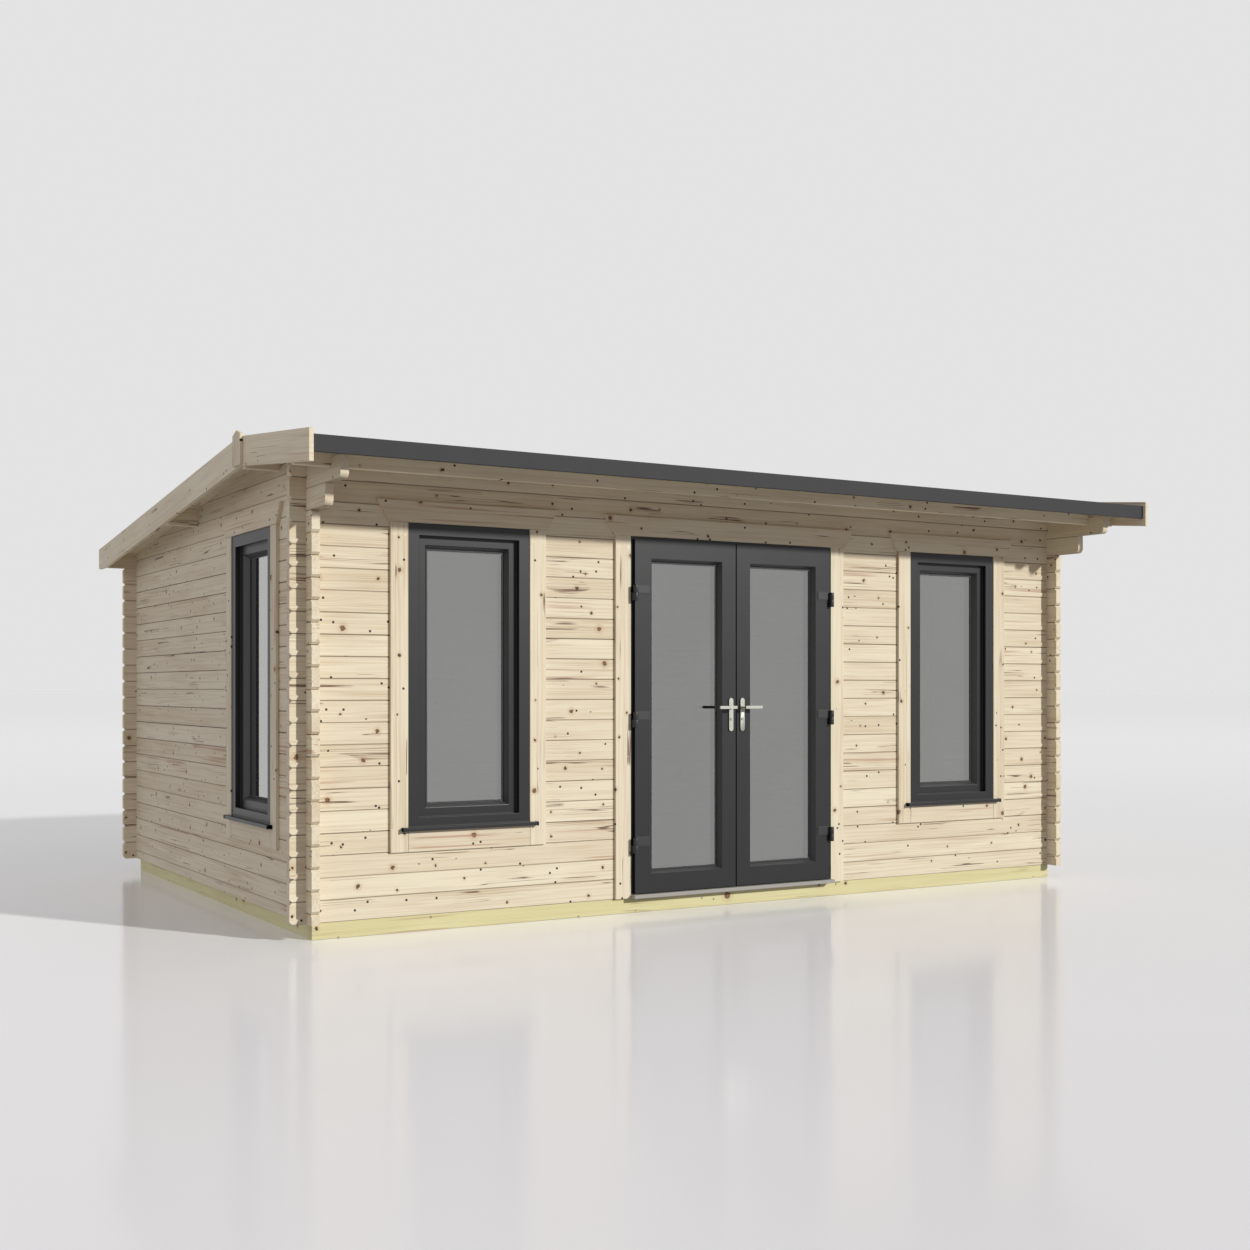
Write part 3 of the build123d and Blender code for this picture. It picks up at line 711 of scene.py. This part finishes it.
# %% The tree for a row of boards
BOARD_INPUTS = {
    "Count": "NodeSocketInt",
    "Pitch": "NodeSocketVector",
    "Size": "NodeSocketVector",
    "Material": "NodeSocketMaterial",
}
boards_tree, board_ids, start, end = new_tree("row of boards", BOARD_INPUTS)
given = start.outputs
line = add_node(boards_tree, "GeometryNodeMeshLine", {"Count": given["Count"], "Offset": given["Pitch"]})
board = add_node(boards_tree, "GeometryNodeMeshCube", {"Size": given["Size"]})
row = add_node(boards_tree, "GeometryNodeInstanceOnPoints", {"Points": line, "Instance": board})
close_tree(boards_tree, row, given["Material"], end)


def row_of_boards(name, count, pitch, size, material):
    values = {"Count": count, "Pitch": pitch, "Size": size, "Material": material}
    return run_tree(name, boards_tree, board_ids, values)


def edges_rounded(piece, width):
    work = bmesh.new()
    work.from_mesh(piece.data)
    bmesh.ops.bevel(work, geom=work.edges[:], offset=width, segments=1, affect="EDGES")
    work.to_mesh(piece.data)
    work.free()


print("inputs of the row of boards:", list(board_ids))

# %% [markdown]
# ## Floor boards
# The floor is laid with forty boards from side to side. Each is a millimetre narrower than its pitch, which
# leaves the seam. The first boards are cut back behind the threshold, as a joiner would cut them.

# %% Floor boards
FLOOR_BOARD_COUNT = 40
FLOOR_SEAM = 0.001
FLOOR_EDGE = 0.0015
low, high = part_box("floor_boards")
floor_pitch = (high.y - low.y) / FLOOR_BOARD_COUNT
floor_size = (high.x - low.x, floor_pitch - FLOOR_SEAM, high.z - low.z)
floor_step = (0.0, floor_pitch, 0.0)
floor = row_of_boards("floor_boards_laid", FLOOR_BOARD_COUNT, floor_step, floor_size, timber["floor"])
edges_rounded(floor, FLOOR_EDGE)
floor_start = Vector(((low.x + high.x) / 2, low.y + floor_pitch / 2, (low.z + high.z) / 2))
floor.data.transform(Matrix.Translation(floor_start))
threshold_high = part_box("door_threshold")[1]
for vertex in floor.data.vertices:
    if abs(vertex.co.x) < threshold_high.x and vertex.co.y < threshold_high.y:
        vertex.co.y = threshold_high.y
keep(floor, "floor_boards")
print("floor board width in mm:", round(1000 * floor_pitch), "faces:", len(floor.data.polygons))

# %% [markdown]
# ## Roof boards
# From inside, the roof shows as boards that run down each slope. Their ends are cut upright, so a row that is
# turned to the slope would stick out at the eave. Here the row is made level and then sheared to the slope.

# %% Roof boards
ROOF_BOARD_COUNT = 60
ROOF_SEAM = 0.0015
ROOF_EDGE = 0.003


def roof_slope(name):
    """The box of a roof node, its run from front to back, and its slope, which falls behind the ridge."""
    low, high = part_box(name)
    in_front = (low.y + high.y) / 2 < RIDGE_Y
    return low, high, high.y - low.y, SLOPE if in_front else -SLOPE


def roof_boards(name):
    low, high, run, slope = roof_slope(name)
    pitch = (high.x - low.x) / ROOF_BOARD_COUNT
    thick = (high.z - low.z) - abs(slope) * run
    size = (pitch - ROOF_SEAM, run, thick)
    piece = row_of_boards(name + "_laid", ROOF_BOARD_COUNT, (pitch, 0.0, 0.0), size, timber["roof"])
    edges_rounded(piece, ROOF_EDGE)
    start = Vector((low.x + pitch / 2, (low.y + high.y) / 2, (low.z + high.z) / 2))
    piece.data.transform(Matrix.Translation(start))
    for vertex in piece.data.vertices:
        vertex.co.z += (vertex.co.y - start.y) * slope
    return keep(piece, name)


for name in ("front_roof_boards", "rear_roof_boards"):
    print(name, len(roof_boards(name).data.polygons), "faces")

# %% [markdown]
# ## Laps of the roof sheet
# The sheet comes in widths of about half a metre, laid along the roof, and each width laps the one below.
# The CAD solid is one smooth slab. A thin step for each width, added on top, makes the laps catch light.

# %% Laps of the roof sheet
SHEET_WIDTH = 0.48
LAP_HEIGHT = 0.0025
LAP_SHARE = 0.9
LAP_SIDE_GAP = 0.004


def laps(name):
    """Thin steps where one width of sheet laps the next, run along the roof."""
    low, high, run, slope = roof_slope(name)
    count = max(1, int(run / SHEET_WIDTH))
    step = run / count
    size = (high.x - low.x - LAP_SIDE_GAP, step * LAP_SHARE, LAP_HEIGHT)
    piece = row_of_boards(name + "_laps", count, (0.0, step, 0.0), size, finish_of["roof_covering"])
    towards_ridge = step * (1 - LAP_SHARE) / 2 * (1 if slope > 0 else -1)
    first = low.y + step / 2 + towards_ridge
    piece.data.transform(Matrix.Translation(((low.x + high.x) / 2, first, 0.0)))
    middle = (low.y + high.y) / 2
    top_at_middle = (low.z + high.z) / 2 + ((high.z - low.z) - abs(slope) * run) / 2
    for vertex in piece.data.vertices:
        vertex.co.z += top_at_middle + (vertex.co.y - middle) * slope + LAP_HEIGHT / 2
    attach(piece, body_of[name])
    return piece


for name in ("front_roof_covering", "rear_roof_covering"):
    print(name, "laps:", len(laps(name).data.polygons), "faces")

# %% [markdown]
# ## Screws in the trims
# The trims are held with pairs of screws. Each head is 5 mm across, too small for its own object.
# A second tree sets one short cylinder on each of a list of points, turned to face the front.

# %% The tree for screw heads
SCREW_SIDES = 12
SCREW_INPUTS = {
    "Radius": "NodeSocketFloat",
    "Depth": "NodeSocketFloat",
    "Turn": "NodeSocketRotation",
    "Material": "NodeSocketMaterial",
}
screw_tree, screw_ids, start, end = new_tree("screw heads", SCREW_INPUTS)
given = start.outputs
head_shape = {"Vertices": SCREW_SIDES, "Radius": given["Radius"], "Depth": given["Depth"]}
head = add_node(screw_tree, "GeometryNodeMeshCylinder", head_shape)
head_places = {"Points": given["Geometry"], "Instance": head, "Rotation": given["Turn"]}
placed = add_node(screw_tree, "GeometryNodeInstanceOnPoints", head_places)
close_tree(screw_tree, placed, given["Material"], end)
print("inputs of the screw heads:", list(screw_ids))

# %% [markdown]
# The places follow the frame: the windows' centres from the ends of their sills, the trims from the windows
# and from the door trims. Each board has a pair of screws at each level.

# %% Screws in the trims
SILL_HALF = 0.4
WINDOW_HALF = 0.36
TRIM_WIDTH = 0.1
SCREW_LOOK = {
    "Radius": 0.0025,
    "Depth": 0.0012,
    "Turn": (math.pi / 2, 0.0, 0.0),
    "Material": finish_of["screw_metal"],
}
SCREW_OFFSET = 0.03
WINDOW_LEVELS = (0.5, 0.9, 1.3, 1.7, 2.1)
DOOR_LEVELS = (0.2, *WINDOW_LEVELS)
frames_low, frames_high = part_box("front_window_frames")
window_x = frames_high.x - SILL_HALF
trims_low, trims_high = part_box("door_side_trims")
trim_face = trims_low.y
wall_face = trims_high.y
upright_reach = WINDOW_HALF + TRIM_WIDTH / 2
uprights = {
    window_x - upright_reach: WINDOW_LEVELS,
    window_x + upright_reach: WINDOW_LEVELS,
    trims_high.x - TRIM_WIDTH / 2: DOOR_LEVELS,
}
points = []
for side in (-1, 1):
    for x, levels in uprights.items():
        for z in levels:
            points += [(side * (x + offset), trim_face, z) for offset in (-SCREW_OFFSET, SCREW_OFFSET)]
screws = run_tree("trim_screws", screw_tree, screw_ids, SCREW_LOOK, points)
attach(screws, "house")
print("trim screws:", len(points), "window centre:", round(window_x, 3))

# %% [markdown]
# ## Small pieces from boxes
# Gaskets, packers, sill caps and keyholes are plain boxes. One helper makes one mesh from a list of boxes,
# and others make a ring of boxes, or turn boxes that are made for the front onto a side wall.


# %% Boxes and rings of boxes
def boxes(name, spans, body, slot, material, bevel=0.0):
    """One mesh of boxes, each given as its span on x, y and z."""
    work = bmesh.new()
    for x, y, z in spans:
        size = Vector((x[1] - x[0], y[1] - y[0], z[1] - z[0]))
        centre = Vector(((x[0] + x[1]) / 2, (y[0] + y[1]) / 2, (z[0] + z[1]) / 2))
        place = Matrix.Translation(centre) @ Matrix.Diagonal((*size, 1.0))
        bmesh.ops.create_cube(work, size=1.0, matrix=place)
    if bevel:
        bmesh.ops.bevel(work, geom=work.edges[:], offset=bevel, segments=2, affect="EDGES")
    mesh = bpy.data.meshes.new(name)
    work.to_mesh(mesh)
    work.free()
    mesh.materials.append(material)
    piece = new_piece(name, mesh)
    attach(piece, body)
    print(name, len(spans), "boxes")


def span(first, second):
    return tuple(sorted((first, second)))


def ring(x, y, z, width):
    """Four boxes round the inside of a rectangle seen from the front."""
    return [
        (x, y, (z[0], z[0] + width)),
        (x, y, (z[1] - width, z[1])),
        ((x[0], x[0] + width), y, (z[0] + width, z[1] - width)),
        ((x[1] - width, x[1]), y, (z[0] + width, z[1] - width)),
    ]


def on_side_wall(spans, side):
    """Turns boxes made for the front wall onto a side wall."""
    return [(span(side * y[0], side * y[1]), x, z) for x, y, z in spans]


print("helpers for boxes:", [helper.__name__ for helper in (boxes, span, ring, on_side_wall)])

# %% [markdown]
# ## Gaskets
# A black rubber gasket runs round each pane, where the glass meets its beads. It hides the edge of the pane,
# which sits 12 mm deep in its pocket.

# %% Gaskets round the panes
GLASS_POCKET = 0.012
GASKET_WIDTH = 0.008
GASKET_THICK = 0.004
rubber = finish_of["gasket"]
glass_low, glass_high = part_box("front_window_glass")
clear = glass_high.x - window_x - GLASS_POCKET
glass_y = (glass_low.y - GASKET_THICK, glass_low.y)
glass_z = (glass_low.z + GLASS_POCKET, glass_high.z - GLASS_POCKET)
front_rings = []
for centre in (-window_x, window_x):
    front_rings += ring((centre - clear, centre + clear), glass_y, glass_z, GASKET_WIDTH)
boxes("front_gaskets", front_rings, "house", "dark_frame", rubber)
side_low, side_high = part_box("side_window_glass")
side_centre = (side_low.y + side_high.y) / 2
side_glass_y = (side_high.x, side_high.x + GASKET_THICK)
side_rings = ring((side_centre - clear, side_centre + clear), side_glass_y, glass_z, GASKET_WIDTH)
boxes("left_gaskets", on_side_wall(side_rings, -1), "house", "dark_frame", rubber)
boxes("right_gaskets", on_side_wall(side_rings, 1), "house", "dark_frame", rubber)
DOORS = ("left_door", "right_door")
for name in DOORS:
    low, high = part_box(name + "_glass")
    x = (low.x + GLASS_POCKET, high.x - GLASS_POCKET)
    y = (low.y - GASKET_THICK, low.y)
    z = (low.z + GLASS_POCKET, high.z - GLASS_POCKET)
    boxes(name + "_gasket", ring(x, y, z, GASKET_WIDTH), name, "leaf_frame", rubber)

# %% [markdown]
# ## Packers under the hinge flags
# A thin black packer lies between each flag and the leaf. It stands out round the flag as a dark outline,
# which paints the shadow in the gap round the flag: partly a real packer, partly painted shade. It ends short
# of the knuckle, where the flag turns round its pin.

# %% Packers under the hinge flags
PACKER_THICK = 0.0025
# How far the packer stands out round the flag: the width of the painted gap shadow.
GAP_SHADOW_EDGE = 0.006
KNUCKLE_REACH = 0.02
FLAG_HEIGHT = 0.043
MIDDLE_FLAG = 1.111
for name in DOORS:
    low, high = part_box(name + "_hinge_flags")
    leaf_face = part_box(name + "_leaf")[0].y
    side = 1 if low.x > 0 else -1
    inner_x, outer_x = span(abs(low.x), abs(high.x))
    x = span(side * (inner_x - GAP_SHADOW_EDGE), side * (outer_x - KNUCKLE_REACH))
    y = (leaf_face - PACKER_THICK, leaf_face)
    gap_shadow_packers = []
    for bottom in (low.z, MIDDLE_FLAG, high.z - FLAG_HEIGHT):
        gap_shadow_packers.append((x, y, (bottom - GAP_SHADOW_EDGE, bottom + FLAG_HEIGHT + GAP_SHADOW_EDGE)))
    boxes(name + "_packers", gap_shadow_packers, name, "hinge_metal", rubber)

# %% [markdown]
# ## Sill caps
# Each sill is a plastic profile, and its open ends are closed with caps that stand a little proud.

# %% Sill caps
SILL_THICK = 0.020
CAP_LIP = 0.0015
CAP_THICK = 0.008
CAP_REACH = (0.0185, 0.0505)
CAP_BEVEL = 0.001
sill_z = (frames_low.z - CAP_LIP, frames_low.z + SILL_THICK + CAP_LIP)


def cap_spans(centre):
    """The spans of the caps at both ends of a sill."""
    ends = (-SILL_HALF, SILL_HALF)
    inner = (-SILL_HALF + CAP_THICK, SILL_HALF - CAP_THICK)
    return [span(centre + out, centre + back) for out, back in zip(ends, inner)]


front_cap_y = span(wall_face - CAP_REACH[1], wall_face - CAP_REACH[0])
front_caps = [(x, front_cap_y, sill_z) for centre in (-window_x, window_x) for x in cap_spans(centre)]
boxes("front_sill_caps", front_caps, "house", "dark_frame", finish_of["dark_frame"], CAP_BEVEL)
side_face = -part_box("left_wall")[0].x
side_caps = []
for y in cap_spans(side_centre):
    for side in (-1, 1):
        x = span(side * (side_face + CAP_REACH[1]), side * (side_face + CAP_REACH[0]))
        side_caps.append((x, y, sill_z))
boxes("side_sill_caps", side_caps, "house", "dark_frame", finish_of["dark_frame"], CAP_BEVEL)

# %% [markdown]
# ## Locks
# Each handle plate has a lock cylinder with a keyhole, and a collar where the lever's spindle comes through.
# They are short cylinders on both faces of the plates, made as one mesh for each door. Each keyhole is a
# thin black sheet on a cylinder's face: painted shade that stands for the dark hole.

# %% Lock cylinders and keyholes
KEYHOLE_RISE = 0.073
KEYHOLE_HALF = (0.0012, 0.0003, 0.0045)
KEYHOLE_STAND = 0.0042
LOCK_STAND = 0.001
LOCK_SIZE = (0.0085, 0.006)
COLLAR_SIZE = (0.0125, 0.010)
CYLINDER_SIDES = 24


def cylinder(work, centre, size):
    radius, depth = size
    turned = Matrix.Translation(Vector(centre)) @ Matrix.Rotation(math.pi / 2, 4, "X")
    cone = {"radius1": radius, "radius2": radius, "depth": depth, "segments": CYLINDER_SIDES}
    bmesh.ops.create_cone(work, matrix=turned, cap_ends=True, **cone)


for name in DOORS:
    low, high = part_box(name + "_handle_plates")
    lever_low, lever_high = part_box(name + "_lever")
    x = (low.x + high.x) / 2
    keyhole_z = low.z + KEYHOLE_RISE
    work = bmesh.new()
    for y in (low.y - LOCK_STAND, high.y + LOCK_STAND):
        cylinder(work, (x, y, keyhole_z), LOCK_SIZE)
        cylinder(work, (x, y, (lever_low.z + lever_high.z) / 2), COLLAR_SIZE)
    mesh = bpy.data.meshes.new(name + "_lock")
    work.to_mesh(mesh)
    work.free()
    mesh.materials.append(finish_of["handle_metal"])
    lock = new_piece(name + "_lock", mesh)
    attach(lock, name)
    # A thin black sheet on each cylinder face: painted shade for the keyhole.
    keyholes = []
    for y in (low.y - KEYHOLE_STAND, high.y + KEYHOLE_STAND):
        keyholes.append([(c - half, c + half) for c, half in zip((x, y, keyhole_z), KEYHOLE_HALF)])
    boxes(name + "_keyhole", keyholes, name, "hinge_metal", rubber)

# %% [markdown]
# ## A material for every piece
# Each CAD node has a slot, and most slots have one finish. The timbers are chosen by name, because the grain
# has to run along the piece. What isn't replaced by a finished piece gets the material on its CAD node.

# %% Materials onto every piece that is shown
material_of = {name: finish_of[slot_of[name]] for name in nodes if slot_of[name] in finish_of}
for name in ("front_wall_left", "front_wall_right", "front_wall_over_door", "rear_wall"):
    material_of[name] = timber["logs_x"]
for name in ("left_wall", "right_wall", "left_corbels", "right_corbels"):
    material_of[name] = timber["logs_y"]
for name in nodes:
    if name.endswith("purlin"):
        material_of[name] = timber["beams"]
    if name.endswith("barge_boards"):
        material_of[name] = timber["barge"]
material_of["ridge_finials"] = timber["finial"]
material_of["long_bearers"] = timber["bearer_x"]
material_of["cross_bearers"] = timber["bearer_y"]
material_of["door_side_trims"] = timber["upright_x"]
material_of["door_head_trim"] = timber["head_x"]
material_of["side_window_glass"] = finish_of["side_glass"]


def dress(piece, material):
    piece.data.materials.clear()
    piece.data.materials.append(material)
    for polygon in piece.data.polygons:
        polygon.material_index = 0


for name, material in material_of.items():
    dress(shown.get(name, nodes[name]), material)
print("pieces dressed:", len(material_of))

# %% [markdown]
# ## Glazing beads
# The pane is held by beads of the same plastic as the frame. Their splayed faces lie in shade, and a lighter
# copy of the frame colour is painted on them as painted light. They are part of the same solid, so they are
# found by their slant and size and get this second material.

# %% Glazing beads
BEAD_SLANT = (0.85, 0.97)
BEAD_AREA = 0.004


def paint_bead_light(piece):
    """The splayed faces round the glass get the lighter bead material, painted light on faces that lie in
    shade.
    """
    piece.data.materials.append(finish_of["bead"])
    count = 0
    for polygon in piece.data.polygons:
        steepest = max(abs(part) for part in polygon.normal)
        if polygon.area > BEAD_AREA and BEAD_SLANT[0] < steepest < BEAD_SLANT[1]:
            polygon.material_index = 1
            count += 1
    return count


for name in ("front_window_frames", "side_window_frames", "left_door_leaf", "right_door_leaf"):
    print(name, "bead faces:", paint_bead_light(shown[name]))

# %% [markdown]
# ## Window trims
# Round each window lie two upright boards, a short board under the sill and a head board with slanted ends.
# One solid stands for all of them in CAD. Here they are single boards, so that each has its own grain and
# seams show between them. They are drawn flat first, on each side of a window's centre.

# %% Boards of a window trim
TRIM_THICK = 0.018
TRIM_SEAM = 0.0007
TRIM_BEVEL = 0.0018
HEAD_THICK = 0.022
HEAD_HEIGHT = LOG_HEIGHT
HEAD_FOOT = WINDOW_HALF + TRIM_WIDTH + 0.007
HEAD_CROWN = WINDOW_HALF + TRIM_WIDTH + 0.075


def flat_board(work, centre, x, z):
    """A board from x[0] to x[1] and z[0] to z[1] whose back lies at y = 0."""
    middle = Vector((centre + (x[0] + x[1]) / 2, -TRIM_THICK / 2, (z[0] + z[1]) / 2))
    scale = Matrix.Diagonal((x[1] - x[0], TRIM_THICK, z[1] - z[0], 1.0))
    bmesh.ops.create_cube(work, size=1.0, matrix=Matrix.Translation(middle) @ scale)


def head_board(work, centre, bottom, top):
    """A board that is wider at its top than at its foot."""
    outline = [(-HEAD_FOOT, bottom), (HEAD_FOOT, bottom), (HEAD_CROWN, top), (-HEAD_CROWN, top)]
    near = [work.verts.new((centre + x, -HEAD_THICK, z)) for x, z in outline]
    far = [work.verts.new((centre + x, 0.0, z)) for x, z in outline]
    work.faces.new(near)
    work.faces.new(far[::-1])
    for i in range(4):
        j = (i + 1) % 4
        work.faces.new((near[j], near[i], far[i], far[j]))


def draw_uprights(work, centre, bottom, top):
    inner = WINDOW_HALF + TRIM_SEAM
    outer = WINDOW_HALF + TRIM_WIDTH
    for x in ((inner, outer), (-outer, -inner)):
        flat_board(work, centre, x, (bottom, top - HEAD_HEIGHT))


def draw_levels(work, centre, bottom, top):
    flat_board(work, centre, (-WINDOW_HALF, WINDOW_HALF), (bottom, frames_low.z))
    head_board(work, centre, top - HEAD_HEIGHT + TRIM_SEAM, top)


print("head boards are", round(2000 * HEAD_CROWN), "mm wide at the top")

# %% [markdown]
# A function turns the flat drawing onto its wall. The two side walls are drawn far apart, so that the sign
# of x tells which wall a board belongs to.

# %% Trims laid on their walls
FLAT_CENTRE = 10.0


def on_front(point):
    return Vector((point.x, wall_face + point.y, point.z))


def on_sides(point):
    """The first board set turns onto the left wall, and the second onto the right wall."""
    side = -1.0 if point.x < 0 else 1.0
    along = point.x - side * FLAT_CENTRE
    return Vector((side * (side_face - point.y), side_centre + side * along, point.z))


def lay_boards(name, kind, draw, material, centres, to_wall):
    low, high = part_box(name)
    work = bmesh.new()
    for centre in centres:
        draw(work, centre, low.z, high.z)
    bmesh.ops.recalc_face_normals(work, faces=work.faces)
    bmesh.ops.bevel(work, geom=work.edges[:], offset=TRIM_BEVEL, segments=2, affect="EDGES")
    mesh = bpy.data.meshes.new(name)
    work.to_mesh(mesh)
    work.free()
    mesh.materials.append(material)
    for vertex in mesh.vertices:
        vertex.co = to_wall(vertex.co)
    mesh.update()
    piece = keep(new_piece(name + kind, mesh), name)
    print(piece.name, len(mesh.polygons), "faces")


TRIM_WALLS = (
    ("front_window_trims", timber["upright_x"], timber["head_x"], (-window_x, window_x), on_front),
    ("side_window_trims", timber["upright_y"], timber["head_y"], (-FLAT_CENTRE, FLAT_CENTRE), on_sides),
)
for name, upright, level, centres, to_wall in TRIM_WALLS:
    lay_boards(name, "_upright", draw_uprights, upright, centres, to_wall)
    lay_boards(name, "_level", draw_levels, level, centres, to_wall)

# %% [markdown]
# ## The stage
# The floor is plain, pale and slightly polished, so that the building stands on its shadow and a faint
# reflection. It throws no light back onto the building: a floor this pale would light the shade under the
# eave. A trace of glow of its own brings it up to the tone of the background.

# %% Stage floor
STAGE_REACH = 400.0
STAGE_DROP = 0.001
floor_look = {"Base_Color": (0.99, 0.99, 0.985), "Roughness": 0.12, "Specular_IOR_Level": 0.05}
floor_glow = {"Emission_Color": (1.0, 1.0, 0.98), "Emission_Strength": 0.03}
stage_mesh = bpy.data.meshes.new("stage")
corners = [(x * STAGE_REACH, y * STAGE_REACH, -STAGE_DROP) for x, y in ((-1, -1), (1, -1), (1, 1), (-1, 1))]
stage_mesh.from_pydata(corners, [], [(0, 1, 2, 3)])
stage_mesh.materials.append(new_material("stage floor").finish(**floor_look, **floor_glow))
stage = new_piece("stage_floor", stage_mesh)
stage.visible_glossy = False
stage.visible_diffuse = False
print("stage side in metres:", 2 * STAGE_REACH)

# %% [markdown]
# ## Sky
# The world does two jobs. For the camera, and for metal and glass, it is the pale backdrop. For everything
# else it is a dimmer, slightly cool light from all round, which fills the shade.

# %% Sky
AMBIENT = {"Color": (0.96, 0.94, 1.0), "Strength": 0.335}
BACKDROP = {"Color": (0.77, 0.77, 0.77), "Strength": 1.0}
world = bpy.data.worlds.new("pale sky")
bpy.context.scene.world = world
sky = Graph(world)
kinds = ("Is Camera Ray", "Is Glossy Ray", "Is Transmission Ray")
camera_ray, glossy_ray, transmission_ray = sky.node("ShaderNodeLightPath", output=kinds)
shows_backdrop = sky.math("MAXIMUM", camera_ray, sky.math("MAXIMUM", glossy_ray, transmission_ray))
ambient = sky.node("ShaderNodeBackground", AMBIENT)
backdrop = sky.node("ShaderNodeBackground", BACKDROP)
mixed = sky.node("ShaderNodeMixShader", {0: shows_backdrop, 1: ambient, 2: backdrop})
sky.node("ShaderNodeOutputWorld", {"Surface": mixed}, output=())
print("ambient strength:", AMBIENT["Strength"])

# %% [markdown]
# ## Lamps
# One low sun from the front right lights the front wall and draws the overhang's shadow on it. A large soft
# lamp from the left keeps the side wall readable. Both are made by one helper, which points them.

# %% Lamps
SUN = {"energy": 2.90, "colour": (1.0, 0.985, 0.96), "direction": (-0.6, 1.0, -0.46)}
SUN_SPREAD = 2.5
FILL = {"energy": 275.0, "colour": (0.94, 0.92, 1.0), "direction": (1.0, 0.05, -0.32)}
FILL_PLACE = (-16.0, -1.0, 6.0)
FILL_SIDE = 9.0


def lamp(name, kind, energy, colour, direction, location=(0.0, 0.0, 0.0)):
    """A lamp that shines along a direction."""
    data = bpy.data.lights.new(name, kind)
    data.energy = energy
    data.color = colour
    made = new_piece(name, data)
    made.location = location
    made.rotation_mode = "QUATERNION"
    made.rotation_quaternion = Vector(direction).to_track_quat("-Z", "Y")
    return data


sun = lamp("sun", "SUN", **SUN)
sun.angle = math.radians(SUN_SPREAD)
fill = lamp("fill", "AREA", location=FILL_PLACE, **FILL)
fill.size = FILL_SIDE
print("lamps:", sun.name, fill.name)

# %% [markdown]
# ## Camera
# The camera stands level in front of the left corner, at the height of a person's chest. It isn't tilted, so
# upright edges stay parallel, as in the photograph. A small upward shift of the lens frames the roof instead.

# %% Camera
FOCAL_LENGTH = 44.60
SENSOR_WIDTH = 36.0
UPWARD_SHIFT = 0.0507
CAMERA_PLACE = (-5.2935, -9.2088, 1.2893)
CAMERA_TURN = -30.78
FARTHEST_VIEW = 1000.0
camera_data = bpy.data.cameras.new("camera")
camera_data.lens = FOCAL_LENGTH
camera_data.sensor_width = SENSOR_WIDTH
camera_data.shift_y = UPWARD_SHIFT
camera_data.clip_end = FARTHEST_VIEW
camera = new_piece("camera", camera_data)
camera.location = CAMERA_PLACE
camera.rotation_euler = (math.radians(90), 0.0, math.radians(CAMERA_TURN))
bpy.context.scene.camera = camera
bpy.context.scene.view_settings.view_transform = "Standard"
print("camera at", CAMERA_PLACE)
